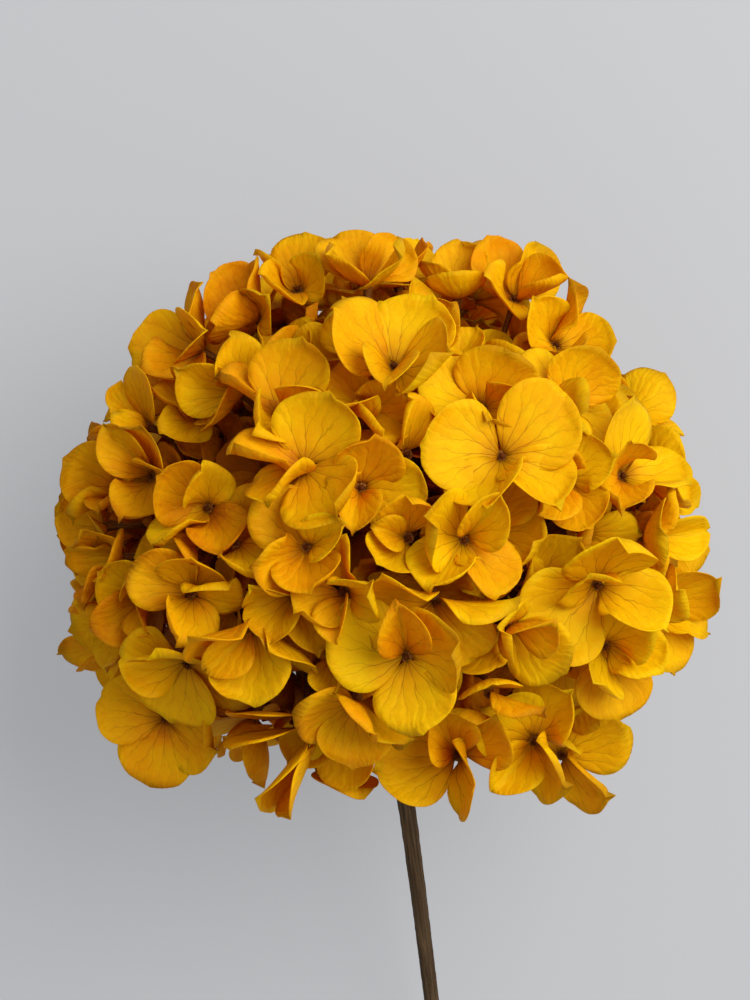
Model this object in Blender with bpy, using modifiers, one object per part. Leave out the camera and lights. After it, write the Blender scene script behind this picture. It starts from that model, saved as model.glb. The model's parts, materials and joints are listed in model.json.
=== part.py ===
"""Preserved mophead hydrangea, picked and laid on its back on a flat surface.

One cut stem ends in a swollen crown. Rays leave the crown and branch to the cymules, and each cymule
carries a few florets of four papery sepals. Metres, +Z up, +Y from the stem towards the flower's top.
"""

import itertools
import math
import random

import bmesh
import bpy
from mathutils import Matrix, Vector
from mathutils.bvhtree import BVHTree

# The way that the flower lies: its axis climbs from the cut end to the top, and its front looks up.
HEAD_TILT = math.radians(20)
HEAD_CENTRE = Vector((-0.0013, 0.0652, 0.0765))
RIGHT = Vector((1, 0, 0))
AXIS = Vector((0, math.cos(HEAD_TILT), math.sin(HEAD_TILT)))
FRONT = Vector((0, -math.sin(HEAD_TILT), math.cos(HEAD_TILT)))

# The rounded head on which the floret centres sit.
HEAD_HALF_WIDTH = 0.079
HEAD_TOP = 0.072
HEAD_BOTTOM = 0.061
HEAD_SHOULDER = 1.35
FLORET_FLOOR = 0.0085
FILL_POINTS = 190
FILL_SPACING = 0.0145
FILL_LOWEST = -44
FILL_RISE = (-0.014, -0.004)
FILL_LENGTH = (0.0125, 0.0158)
FILL_LEAN = 20
FILL_OPENINGS = ((62, 82), (36, 60))
FILL_FORMS = "ffccsszzvr"
AZIMUTH_JITTER = 4
SPIN_JITTER = 8
SEED = 11

# Stem and branches.
CROWN_DEPTH = 0.015
CROWN_SIDE = -0.002
CROWN_CENTRE = HEAD_CENTRE - CROWN_DEPTH * AXIS + CROWN_SIDE * RIGHT
CROWN_RADIUS = 0.0058
STEM_LEAN = math.radians(7)
STEM_BOW = 0.0015
STEM_RADII = (0.0032, 0.0025, 0.0021, 0.0020)
STEM_STATIONS = (0.0, 0.28, 0.5, 1.0)
RAY_COUNT = 8
RAY_REACH = 0.023
RAY_KNOB = 0.0023
RAY_RADII = (0.0017, 0.0014)
BRANCH_RADII = (0.0011, 0.0009)
CYMULE_COUNT = 46
GROUP_REACH = 0.92
GROUP_ROUNDS = 12
FORK_SHARES = (0.60, 0.53, 0.66, 0.47, 0.72)
FORK_KNOB = 0.0017
PEDICEL_RADII = (0.0007, 0.0007, 0.0011)
PEDICEL_BEND = 0.008
TUBE_MARGIN = 1.1
STEM_SIDES = 12
RAY_SIDES = 6
PEDICEL_SIDES = 4
WELD_DISTANCE = 1e-6
GAP = 0.0003

# Sepals, in the blade's own axes: x from the eye to the tip, y across, z towards the floret's front.
SEPAL_THICKNESS = 0.0005
SEPAL_ROOT = 0.0015
SEPAL_ROOT_HALF = 0.0006
SEPAL_WIDEST = 0.52
SEPAL_TIP = 0.48
SEPAL_LENGTHS = (0.94, 1.06)
SEPAL_WIDTHS = (1.04, 1.26)
SEPAL_CLEARANCE = 0.00035
# Sepals of one floret start at least this far apart, in degrees, and may meet up to this share of the way
# from the root to the widest line.
SEPAL_APART = 52
SHARED_ROOT = 0.16
# Each form's fold along the midrib, its turn at mid-length and its twist about its length, in degrees.
FORMS = {
    "f": (6, 5, 0),
    "c": (18, 28, 0),
    "r": (6, -26, 0),
    "v": (60, 4, 0),
    "s": (28, 12, 46),
    "z": (28, 12, -46),
}
POINTED_FORMS = "vsz"
NEAR_STEPS = (0, -4, 4, -8, 8, -13, 14)
FAR_STEPS = (20, 27, -19, 35, 44)
# What a sepal tries in turn where it finds no room: its own form at full size, smaller, twisted or folded.
FALLBACKS = ((1.0, None), (0.9, None), (0.9, "s"), (0.9, "z"), (0.78, None), (0.75, "v"))
TURN_STEPS = (0, 9, -9)
# A floret whose axis dips below this height component lies on the surface and opens from nearly shut.
FACING_FLOOR = -0.45
FLOOR_OPENING = 46
FLOOR_STEPS = range(0, 60, 2)
FLOOR_GAP = 0.0001
NEIGHBOUR_MARGIN = 0.004

# The florets that show on the front, chosen by eye: azimuth and latitude on the head, rise in mm, the way
# that the floret faces (degrees to the right and to the top), sepal length in mm, and for each sepal its
# direction in the floret, its opening from the floret's axis and its form.
FEATURE_FLORETS = (
    (25, 32, 4, 10, 5, 18.5, ((165, 84, "f"), (35, 82, "f"), (247, 52, "s"), (309, 52, "z"))),
    (4, 0, 5, -4, -2, 17.5, ((168, 84, "f"), (285, 80, "f"), (28, 64, "c"), (98, 42, "v"))),
    (39, 7, 3, 8, -12, 19, ((214, 84, "f"), (91, 60, "c"), (152, 48, "s"), (330, 54, "z"))),
    (-45, -27, 5, -6, -8, 16.5, ((160, 84, "f"), (256, 80, "f"), (345, 70, "c"), (55, 74, "f"))),
    (-15, 31, 5, -6, 12, 17, ((76, 72, "f"), (180, 64, "s"), (308, 74, "c"), (245, 44, "z"))),
    (16, -33, 2, -8, 6, 19, ((196, 80, "f"), (122, 48, "v"), (318, 32, "s"), (50, 52, "c"))),
    (48, -43, 6, 10, -10, 16.5, ((28, 76, "f"), (122, 54, "z"), (325, 34, "s"))),
    (-13, 18, 2, -6, 6, 14, ((135, 80, "f"), (282, 62, "c"), (208, 46, "z"), (20, 52, "v"))),
    (56, 23, 0, 40, 10, 17, ((82, 74, "f"), (205, 62, "s"), (330, 58, "z"), (145, 46, "s"))),
    (50, 38, 1, 30, 28, 16.5, ((312, 78, "f"), (135, 74, "f"), (50, 56, "c"), (225, 48, "z"))),
    (4, 50, 3, 4, 30, 18, ((62, 74, "f"), (150, 70, "f"), (335, 56, "c"), (250, 50, "v"))),
    (-25, 40, 2, -8, 25, 16.5, ((80, 72, "f"), (150, 54, "s"), (12, 50, "c"), (262, 46, "z"))),
    (-33, 7, 3, -12, -5, 14.5, ((155, 76, "f"), (25, 60, "s"), (90, 62, "c"), (275, 44, "z"))),
    (-6, 11, 3, -20, 0, 13.5, ((95, 70, "c"), (212, 68, "c"), (285, 46, "v"), (15, 46, "s"))),
    (-21, 3, 3, -8, -36, 18, ((277, 60, "c"), (345, 58, "c"), (165, 62, "z"), (217, 50, "s"))),
    (-35, -9, 2, -28, -52, 17.5, ((95, 76, "f"), (165, 74, "f"), (245, 66, "f"), (330, 78, "f"))),
    (31, -29, 4, 5, -10, 17, ((138, 68, "f"), (62, 54, "z"), (225, 54, "v"), (318, 42, "s"))),
    (9, 9, 2, 6, -40, 17, ((152, 72, "z"), (12, 74, "s"), (300, 76, "f"), (230, 60, "c"))),
    (15, 19, 1, 10, -8, 16, ((300, 62, "z"), (55, 52, "v"), (150, 62, "c"), (225, 48, "s"))),
    (5, 20, 0, 0, 0, 13.5, ((235, 62, "c"), (100, 58, "c"), (168, 46, "z"), (335, 56, "f"))),
    (22, 2, 0, 8, -35, 15.5, ((212, 66, "s"), (332, 64, "f"), (120, 46, "z"), (45, 48, "v"))),
    (59, -5, 1, 42, -12, 15.5, ((264, 70, "f"), (35, 60, "c"), (335, 54, "s"), (125, 50, "c"))),
    (44, -9, 0, 22, -18, 16, ((272, 72, "f"), (202, 60, "c"), (60, 48, "z"), (338, 50, "s"))),
    (56, 11, 1, 48, 0, 14.5, ((150, 54, "c"), (75, 56, "c"), (250, 52, "z"), (345, 48, "v"))),
    (-4, -13, 2, 0, -50, 14.5, ((168, 70, "f"), (264, 60, "c"), (338, 60, "s"), (60, 52, "z"))),
    (-13, -26, 3, -50, -49, 19, ((321, 12, "f"), (141, 12, "f"))),
    (-16, -21, 1, -65, -4, 17, ((290, 12, "f"), (110, 12, "f"))),
    (-15, -44, 0, 55, -12, 16, ((246, 12, "f"), (66, 12, "f"))),
    (27, 42, -1, 8, 25, 15.5, ((168, 72, "f"), (62, 62, "f"), (345, 50, "s"), (270, 46, "z"))),
    (-51, 24, 1, -35, 10, 15, ((70, 54, "c"), (135, 52, "v"), (15, 50, "s"), (285, 54, "z"))),
    (-62, 19, -1, -50, 8, 14, ((75, 60, "f"), (150, 60, "c"), (255, 52, "s"), (335, 46, "z"))),
    (-65, 10, -2, -60, 0, 12.5, ((275, 60, "f"), (100, 58, "c"), (187, 56, "c"), (10, 46, "v"))),
    (-55, 7, -1, -48, -5, 13.5, ((98, 56, "c"), (180, 54, "c"), (265, 50, "s"), (10, 46, "z"))),
    (-46, 2, 0, -30, -8, 13.5, ((150, 56, "c"), (75, 52, "s"), (232, 50, "z"), (330, 48, "v"))),
    (-57, -7, -3, -52, -25, 14, ((200, 60, "f"), (278, 56, "c"), (110, 52, "c"), (20, 46, "s"))),
    (-34, 22, 1, -28, -5, 15, ((320, 58, "z"), (152, 58, "c"), (80, 52, "c"), (235, 50, "s"))),
    (-37, 15, -1, -22, 5, 14, ((138, 62, "c"), (60, 48, "z"), (218, 52, "v"), (325, 48, "s"))),
    (-27, 17, 0, -15, 5, 14, ((68, 62, "c"), (150, 48, "z"), (238, 48, "s"), (320, 46, "z"))),
    (-15, 9, -2, -5, -20, 14, ((150, 54, "v"), (222, 52, "s"), (300, 56, "z"), (60, 46, "s"))),
    (-4, 29, -2, 5, 5, 14, ((75, 58, "c"), (160, 52, "z"), (342, 60, "f"), (250, 50, "v"))),
    (-4, 44, -3, 0, 20, 15, ((200, 50, "s"), (112, 46, "z"), (22, 48, "s"), (290, 50, "z"))),
    (6, 35, -2, 0, 10, 15.5, ((100, 58, "c"), (190, 48, "v"), (280, 50, "s"), (10, 48, "z"))),
    (40, 26, -1, 20, -5, 14.5, ((290, 66, "c"), (30, 56, "s"), (110, 46, "z"), (200, 46, "v"))),
    (-77, -28, -1, -40, -50, 15, ((178, 74, "f"), (108, 60, "c"), (250, 60, "s"), (330, 52, "z"))),
    (-65, -45, -5, -15, -40, 14, ((172, 62, "c"), (250, 60, "s"), (340, 58, "c"), (80, 50, "z"))),
    (-9, -27, -4, -5, -45, 15, ((302, 60, "c"), (218, 56, "c"), (120, 50, "v"), (20, 50, "s"))),
    (20, -15, -1, 0, -30, 13.5, ((100, 54, "c"), (190, 50, "c"), (280, 46, "z"), (10, 50, "s"))),
    (88, 58, 1, 15, 45, 16, ((112, 66, "f"), (45, 62, "c"), (200, 54, "z"), (330, 52, "v"))),
    (76, 48, -1, 40, 30, 15, ((65, 52, "s"), (130, 52, "z"), (320, 60, "c"), (220, 48, "s"))),
    (86, 68, -4, 0, 60, 14, ((90, 54, "c"), (170, 52, "c"), (270, 52, "c"), (0, 54, "c"))),
    (-12, 73, 1, 0, 55, 15.5, ((120, 66, "f"), (50, 64, "f"), (212, 56, "c"), (320, 54, "c"))),
    (-68, 67, 0, -15, 45, 14.5, ((95, 62, "f"), (160, 58, "c"), (250, 48, "z"), (20, 50, "v"))),
    (-68, 58, -1, -35, 30, 15, ((95, 50, "s"), (25, 50, "z"), (165, 54, "c"), (290, 48, "s"))),
    (-75, 47, -1, -46, 20, 18, ((95, 72, "f"), (215, 70, "f"), (285, 46, "z"), (20, 46, "v"))),
    (-41, 43, 0, -25, 15, 14.5, ((100, 52, "s"), (180, 50, "z"), (280, 50, "s"), (20, 48, "z"))),
    (-64, 31, 0, -55, 15, 15, ((85, 58, "f"), (155, 60, "c"), (230, 52, "v"), (330, 48, "s"))),
    (-54, 38, -5, -30, 20, 14, ((90, 48, "z"), (180, 48, "s"), (270, 48, "z"), (0, 48, "v"))),
    (-9, -3, -3, -5, -20, 14, ((110, 50, "s"), (200, 52, "c"), (290, 56, "c"), (20, 48, "z"))),
)

# Each finish's colour and roughness.
PETAL = ((0.84, 0.48, 0.004, 1), 0.58)
RAY_WOOD = ((0.16, 0.075, 0.022, 1), 0.80)
STEM_BARK = ((0.055, 0.034, 0.017, 1), 0.75)


def clear_scene():
    for thing in list(bpy.data.objects):
        bpy.data.objects.remove(thing, do_unlink=True)


def new_collection(name):
    made = bpy.data.collections.new(name)
    bpy.context.scene.collection.children.link(made)
    return made


def finish(piece, name, colour, roughness):
    """Gives the piece a material of its own."""
    material = bpy.data.materials.new(name)
    material.use_nodes = True
    shader = material.node_tree.nodes["Principled BSDF"]
    shader.inputs["Base Color"].default_value = colour
    shader.inputs["Roughness"].default_value = roughness
    shader.inputs["Metallic"].default_value = 0
    piece.data.materials.append(material)


# Layout of the florets, shared by every sub-part.


def on_head(azimuth, latitude, rise):
    """A floret's centre on the rounded head, pressed flat where the head rests, and the way out there."""
    turn = math.radians(azimuth)
    climb = math.radians(latitude)
    across = math.sin(turn) * RIGHT + math.cos(turn) * FRONT
    width = HEAD_HALF_WIDTH * math.cos(climb) ** (HEAD_SHOULDER if latitude > 0 else 1)
    height = HEAD_TOP if latitude > 0 else HEAD_BOTTOM
    outward = math.cos(climb) / HEAD_HALF_WIDTH * across + math.sin(climb) / height * AXIS
    outward.normalize()
    centre = HEAD_CENTRE + width * across + height * math.sin(climb) * AXIS
    centre += rise * outward
    centre.z = max(centre.z, FLORET_FLOOR)
    return centre, outward


def facing(right, up):
    """A direction that many degrees to the right and to the top of straight up."""
    right = math.radians(right)
    up = math.radians(up)
    return Vector((math.sin(right) * math.cos(up), math.sin(up), math.cos(right) * math.cos(up)))


def new_floret(centre, axis, sepals):
    side = AXIS.cross(axis).normalized()
    floret = {"centre": centre, "axis": axis, "side": side, "top": axis.cross(side)}
    return floret | {"slots": sepals, "sepals": list(sepals)}


def new_sepal(direction, opening, form, length, rng):
    return {
        "direction": math.radians(direction),
        "opening": opening,
        "form": form,
        "length": length * rng.uniform(*SEPAL_LENGTHS),
        "width": length * rng.uniform(*SEPAL_WIDTHS),
    }


def feature_florets(rng):
    florets = []
    for azimuth, latitude, rise, right, up, length, rows in FEATURE_FLORETS:
        centre, _ = on_head(azimuth, latitude, rise / 1000)
        sepals = [new_sepal(*row, length / 1000, rng) for row in rows]
        florets.append(new_floret(centre, facing(right, up), sepals))
    return florets


def fill_florets(taken, rng):
    """Florets on an even spiral over the rest of the head, leaning and opened a little at random."""
    golden = math.degrees(math.pi * (3 - math.sqrt(5)))
    florets = []
    for index in range(FILL_POINTS):
        latitude = math.degrees(math.asin(1 - (2 * index + 1) / FILL_POINTS))
        azimuth = (index * golden) % 360 + rng.uniform(-AZIMUTH_JITTER, AZIMUTH_JITTER)
        rise = rng.uniform(*FILL_RISE)
        lean = Vector([math.radians(rng.uniform(-FILL_LEAN, FILL_LEAN)) for _ in range(3)])
        length = rng.uniform(*FILL_LENGTH)
        spin = rng.uniform(0, 90)
        sepals = []
        for quarter in range(4):
            opening = rng.uniform(*FILL_OPENINGS[quarter % 2])
            form = rng.choice(FILL_FORMS)
            direction = spin + 90 * quarter + rng.uniform(-SPIN_JITTER, SPIN_JITTER)
            sepals.append(new_sepal(direction, opening, form, length, rng))
        centre, outward = on_head(azimuth, latitude, rise)
        near = min((centre - other["centre"]).length for other in taken)
        if latitude < FILL_LOWEST or near < FILL_SPACING:
            continue
        sepals = sepals[::2] + sepals[1::2]
        florets.append(new_floret(centre, (outward + lean).normalized(), sepals))
    return florets


def clusters(directions, count):
    """Splits the directions into that many neighbourly groups, and gives (middle, members) of each."""
    golden = math.pi * (3 - math.sqrt(5))
    middles = []
    for index in range(count):
        climb = 1 - (2 * index + 1) / count * GROUP_REACH
        flat = math.sqrt(1 - climb * climb)
        across = math.sin(index * golden) * RIGHT + math.cos(index * golden) * FRONT
        middles.append(flat * across + climb * AXIS)
    for _ in range(GROUP_ROUNDS):
        members = [[] for _ in middles]
        for number, way in enumerate(directions):
            nearest = max(range(len(middles)), key=lambda group: way.dot(middles[group]))
            members[nearest].append(number)
        members = [group for group in members if group]
        middles = [sum((directions[one] for one in group), Vector()).normalized() for group in members]
    return list(zip(middles, members))


# One sepal as a flat outline with a fold, and the search for an opening at which it touches nothing.


def blade_outline(sepal, grow=0.0):
    """The outline's corners in the blade's own axes, from the root round the tip and back."""
    fold, turn, twist = (math.radians(angle) for angle in FORMS[sepal["form"]])
    length = sepal["length"] + grow
    half = sepal["width"] / 2 + grow
    middle = SEPAL_WIDEST * length
    tip = (middle + (length - middle) * math.cos(turn), (length - middle) * math.sin(turn))
    side = (half * math.cos(fold), half * math.sin(fold))
    corners = [(middle, side[0], side[1])]
    if sepal["form"] in POINTED_FORMS:
        corners.append((tip[0], 0, tip[1]))
    else:
        corners.append((tip[0], SEPAL_TIP * side[0], tip[1] + SEPAL_TIP * side[1]))
        corners.append((tip[0], -SEPAL_TIP * side[0], tip[1] + SEPAL_TIP * side[1]))
    corners.append((middle, -side[0], side[1]))
    roll = Matrix.Rotation(twist, 3, "X")
    twisted = [tuple(roll @ Vector(corner)) for corner in corners]
    return [(0, -SEPAL_ROOT_HALF, 0), (0, SEPAL_ROOT_HALF, 0), *twisted]


def blade_axes(floret, sepal):
    opening = math.radians(sepal["opening"])
    away = math.cos(sepal["direction"]) * floret["side"] + math.sin(sepal["direction"]) * floret["top"]
    along = math.sin(opening) * away + math.cos(opening) * floret["axis"]
    front = math.sin(opening) * floret["axis"] - math.cos(opening) * away
    root = floret["centre"] + SEPAL_ROOT * away
    return root, along, front.cross(along), front


def blade_corners(floret, sepal, grow=0.0):
    root, along, across, front = blade_axes(floret, sepal)
    return [root + x * along + y * across + z * front for x, y, z in blade_outline(sepal, grow)]


def blade_faces(count):
    """Corner numbers of the flat faces of an outline with that many corners."""
    if count == 6:
        return ((5, 2, 1, 0), (4, 3, 2, 5))
    return ((3, 1, 0), (3, 2, 1), (4, 3, 0))


def blade_tree(floret, sepal, grow, rooted=True):
    """A collision tree of the blade as a slab, with or without its root, and its lowest height."""
    front = blade_axes(floret, sepal)[3]
    corners = blade_corners(floret, sepal, grow)
    if not rooted:
        corners[0] = corners[0].lerp(corners[-1], SHARED_ROOT)
        corners[1] = corners[1].lerp(corners[2], SHARED_ROOT)
    half = (SEPAL_THICKNESS / 2 + grow) * front
    count = len(corners)
    points = [corner + half for corner in corners] + [corner - half for corner in corners]
    faces = list(blade_faces(count))
    faces += [tuple(number + count for number in reversed(face)) for face in blade_faces(count)]
    faces += [(edge, (edge + 1) % count, (edge + 1) % count + count, edge + count) for edge in range(count)]
    lowest = min(point.z for point in points)
    return BVHTree.FromPolygons(points, faces), lowest


def settle_sepals(florets, branches):
    """Opens each sepal as far as it goes, front florets first, and drops one that finds no room."""
    placed = []
    for floret in florets:
        own = []
        kept = []
        for sepal in floret["slots"]:
            if not find_room(floret, sepal, own, placed, branches):
                continue
            kept.append(sepal)
            own.append(blade_tree(floret, sepal, 0, rooted=False)[0])
        floret["sepals"] = kept
        for sepal in kept:
            placed.append((floret["centre"], sepal["length"], blade_tree(floret, sepal, 0)[0]))


def find_room(floret, sepal, own, placed, branches):
    """Sets the sepal's size, form, opening and turn to the first choice that touches nothing."""
    wished = dict(sepal)
    start = wished["opening"]
    rounds = (NEAR_STEPS, FAR_STEPS)
    if floret["axis"].z < FACING_FLOOR:
        start = FLOOR_OPENING
        rounds = (FLOOR_STEPS,)
    near = [tree for middle, reach, tree in placed
            if (middle - floret["centre"]).length < reach + sepal["length"] + NEIGHBOUR_MARGIN]
    for steps, (shrink, form), turn in itertools.product(rounds, FALLBACKS, TURN_STEPS):
        sepal["length"] = wished["length"] * shrink
        sepal["width"] = wished["width"] * shrink
        sepal["form"] = form or wished["form"]
        sepal["direction"] = wished["direction"] + math.radians(turn)
        for step in steps:
            sepal["opening"] = start + step
            if has_room(floret, sepal, own, near, branches):
                return True
    sepal.update(wished)
    return False


def has_room(floret, sepal, own, near, branches):
    for other in floret["slots"]:
        apart = abs(math.remainder(sepal["direction"] - other["direction"], math.tau))
        if other is not sepal and apart < math.radians(SEPAL_APART):
            return False
    if blade_tree(floret, sepal, 0)[1] < FLOOR_GAP:
        return False
    whole = blade_tree(floret, sepal, SEPAL_CLEARANCE)[0]
    if any(whole.overlap(other) for other in near):
        return False
    outer = blade_tree(floret, sepal, SEPAL_CLEARANCE, rooted=False)[0]
    return not any(outer.overlap(other) for other in own + branches)


# Branches: every floret's pedicel leaves its cymule's fork, and every fork is carried by a ray's branch.


def tube_tree(path, radii, grow=0.0):
    """A collision tree of a plain tube along the path, a little thicker than the real one."""
    points = []
    for number, (place, radius) in enumerate(zip(path, radii)):
        along = (path[min(number + 1, len(path) - 1)] - path[max(number - 1, 0)]).normalized()
        side = along.orthogonal().normalized()
        over = along.cross(side)
        reach = TUBE_MARGIN * radius + grow
        for corner in range(RAY_SIDES):
            turn = math.tau * corner / RAY_SIDES
            points.append(place + reach * (math.cos(turn) * side + math.sin(turn) * over))
    faces = []
    for ring in range(len(path) - 1):
        for corner in range(RAY_SIDES):
            low = RAY_SIDES * ring + corner
            beside = RAY_SIDES * ring + (corner + 1) % RAY_SIDES
            faces.append((low, beside, beside + RAY_SIDES, low + RAY_SIDES))
    return BVHTree.FromPolygons(points, faces)


def stem_path():
    """From the crown down to the cut end, which lies on the surface, with a slight natural bow."""
    away = math.sin(STEM_LEAN) * RIGHT - math.cos(STEM_LEAN) * AXIS
    cut_height = STEM_RADII[-1] * math.cos(HEAD_TILT)
    length = (CROWN_CENTRE.z - cut_height) / -away.z
    path = []
    for station in STEM_STATIONS:
        bow = STEM_BOW * math.sin(math.pi * station) * RIGHT
        path.append(CROWN_CENTRE + station * length * away + bow)
    return path


def pedicel_path(fork, floret):
    return [fork, floret["centre"] - PEDICEL_BEND * floret["axis"], floret["centre"]]


def fork_cymule(florets, middle, members, placed):
    """Forks the cymule at the first height at which its pedicels clear those placed, or at the last one."""
    reach = sum((florets[one]["centre"] - CROWN_CENTRE).length for one in members) / len(members)
    for share in FORK_SHARES:
        fork = CROWN_CENTRE + share * reach * middle
        paths = [pedicel_path(fork, florets[one]) for one in members]
        trees = [tube_tree(path, PEDICEL_RADII, GAP) for path in paths]
        if not any(tree.overlap(other) for tree in trees for other in placed):
            break
    placed += [tube_tree(path, PEDICEL_RADII) for path in paths]
    return {"fork": fork, "middle": middle, "members": members, "pedicels": paths}


def plan_flower():
    """Every floret, cymule and ray of the flower, with each sepal opened into its own room."""
    rng = random.Random(SEED)
    florets = feature_florets(rng)
    florets += fill_florets(florets, rng)
    ways = [(floret["centre"] - CROWN_CENTRE).normalized() for floret in florets]
    tubes = []
    groups = clusters(ways, CYMULE_COUNT)
    cymules = [fork_cymule(florets, middle, members, tubes) for middle, members in groups]
    rays = []
    for middle, members in clusters([cymule["middle"] for cymule in cymules], RAY_COUNT):
        start = CROWN_CENTRE + (CROWN_RADIUS + GAP) * middle
        knob = CROWN_CENTRE + RAY_REACH * middle
        branches = []
        for one in members:
            way = (cymules[one]["fork"] - knob).normalized()
            branches.append([knob, cymules[one]["fork"] - (FORK_KNOB + GAP) * way])
        rays.append({"main": [start, knob], "branches": branches})
        tubes.append(tube_tree(rays[-1]["main"], RAY_RADII))
        tubes += [tube_tree(branch, BRANCH_RADII) for branch in branches]
    tubes.append(tube_tree(stem_path(), STEM_RADII))
    settle_sepals(florets, tubes)
    return florets, cymules, rays


# Solids.


def mesh_object(name, points, faces, collection):
    mesh = bpy.data.meshes.new(name)
    mesh.from_pydata(points, [], faces)
    made = bpy.data.objects.new(name, mesh)
    collection.objects.link(made)
    return made


def tube(name, path, radii, sides, collection):
    """A tapered tube with an even number of sides, a curve until convert_tubes makes it a mesh."""
    curve = bpy.data.curves.new(name, "CURVE")
    curve.dimensions = "3D"
    curve.bevel_depth = 1
    curve.bevel_resolution = (sides - 4) // 2
    curve.use_fill_caps = True
    spline = curve.splines.new("POLY")
    spline.points.add(len(path) - 1)
    for point, place, radius in zip(spline.points, path, radii):
        point.co = (*place, 1)
        point.radius = radius
    collection.objects.link(bpy.data.objects.new(name, curve))


def convert_tubes(collection):
    """Makes every curve of the collection a mesh with welded caps."""
    graph = bpy.context.evaluated_depsgraph_get()
    for guide in [thing for thing in collection.objects if thing.type == "CURVE"]:
        mesh = bpy.data.meshes.new_from_object(guide.evaluated_get(graph))
        welded = bmesh.new()
        welded.from_mesh(mesh)
        bmesh.ops.remove_doubles(welded, verts=welded.verts, dist=WELD_DISTANCE)
        welded.to_mesh(mesh)
        welded.free()
        made = bpy.data.objects.new(guide.name + "_mesh", mesh)
        made.matrix_world = guide.matrix_world
        collection.objects.link(made)
    for guide in [thing for thing in collection.objects if thing.type == "CURVE"]:
        bpy.data.objects.remove(guide)


def knob(name, centre, radius, collection):
    ball = bmesh.new()
    bmesh.ops.create_icosphere(ball, subdivisions=1, radius=radius)
    mesh = bpy.data.meshes.new(name)
    ball.to_mesh(mesh)
    ball.free()
    made = bpy.data.objects.new(name, mesh)
    made.location = centre
    collection.objects.link(made)
    return made


def floret_solid(name, floret, collection):
    """One floret as a sheet, the eye with its sepals, thickened by Solidify."""
    points = []
    faces = []
    eye = []
    for sepal in sorted(floret["slots"], key=lambda slot: slot["direction"] % math.tau):
        root, _, across, _ = blade_axes(floret, sepal)
        first = len(points)
        points += [root - SEPAL_ROOT_HALF * across, root + SEPAL_ROOT_HALF * across]
        eye += [first, first + 1]
        if sepal not in floret["sepals"]:
            continue
        corners = blade_corners(floret, sepal)
        points += corners[2:]
        faces += [tuple(first + number for number in face) for face in blade_faces(len(corners))]
    faces.append(tuple(eye))
    made = mesh_object(name, points, faces, collection)
    shell = made.modifiers.new("thickness", "SOLIDIFY")
    shell.thickness = SEPAL_THICKNESS
    shell.offset = 0
    return made


def join(base, operands):
    """Unions every solid of the operands' collection into the base."""
    union = base.modifiers.new("joined", "BOOLEAN")
    union.operation = "UNION"
    union.operand_type = "COLLECTION"
    union.collection = operands
    union.solver = "EXACT"


def operand_collection(name, joined):
    made = bpy.data.collections.new(name + "_joined")
    joined.children.link(made)
    return made


def build_stem(parts, joined):
    operands = operand_collection("stem", joined)
    tube("stem_shaft", stem_path(), STEM_RADII, STEM_SIDES, operands)
    stem = knob("stem", CROWN_CENTRE, CROWN_RADIUS, parts)
    finish(stem, "stem_bark", *STEM_BARK)
    return stem, operands


def build_ray(number, ray, parts, joined):
    name = f"ray_{number:02d}"
    operands = operand_collection(name, joined)
    tube(name + "_main", ray["main"], RAY_RADII, RAY_SIDES, operands)
    for index, path in enumerate(ray["branches"]):
        tube(f"{name}_branch_{index}", path, BRANCH_RADII, RAY_SIDES, operands)
    base = knob(name, ray["main"][-1], RAY_KNOB, parts)
    finish(base, name + "_wood", *RAY_WOOD)
    return base, operands


def build_cymule(number, cymule, florets, parts, joined):
    name = f"cymule_{number:02d}"
    operands = operand_collection(name, joined)
    for member, path in zip(cymule["members"], cymule["pedicels"]):
        tube(f"{name}_pedicel_{member}", path, PEDICEL_RADII, PEDICEL_SIDES, operands)
        floret_solid(f"{name}_floret_{member}", florets[member], operands)
    base = knob(name, cymule["fork"], FORK_KNOB, parts)
    finish(base, name + "_petal", *PETAL)
    return base, operands


def main():
    clear_scene()
    parts = new_collection("preserved_hydrangea_flower")
    joined = new_collection("joined_pieces")
    florets, cymules, rays = plan_flower()
    built = [build_stem(parts, joined)]
    built += [build_ray(number, ray, parts, joined) for number, ray in enumerate(rays, 1)]
    for number, cymule in enumerate(cymules, 1):
        built.append(build_cymule(number, cymule, florets, parts, joined))
    for _, operands in built:
        convert_tubes(operands)
    for base, operands in built:
        join(base, operands)
    joined.hide_render = True
    for piece in joined.all_objects:
        piece.hide_render = True
        piece.display_type = "WIRE"


main()
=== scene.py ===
"""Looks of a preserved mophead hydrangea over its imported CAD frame: papery sepals, eyes, stalks and stem."""

import itertools
import json
import math
import random
from types import SimpleNamespace

import bmesh
import bpy
from mathutils import Matrix, Vector, noise
from mathutils.bvhtree import BVHTree

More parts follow.
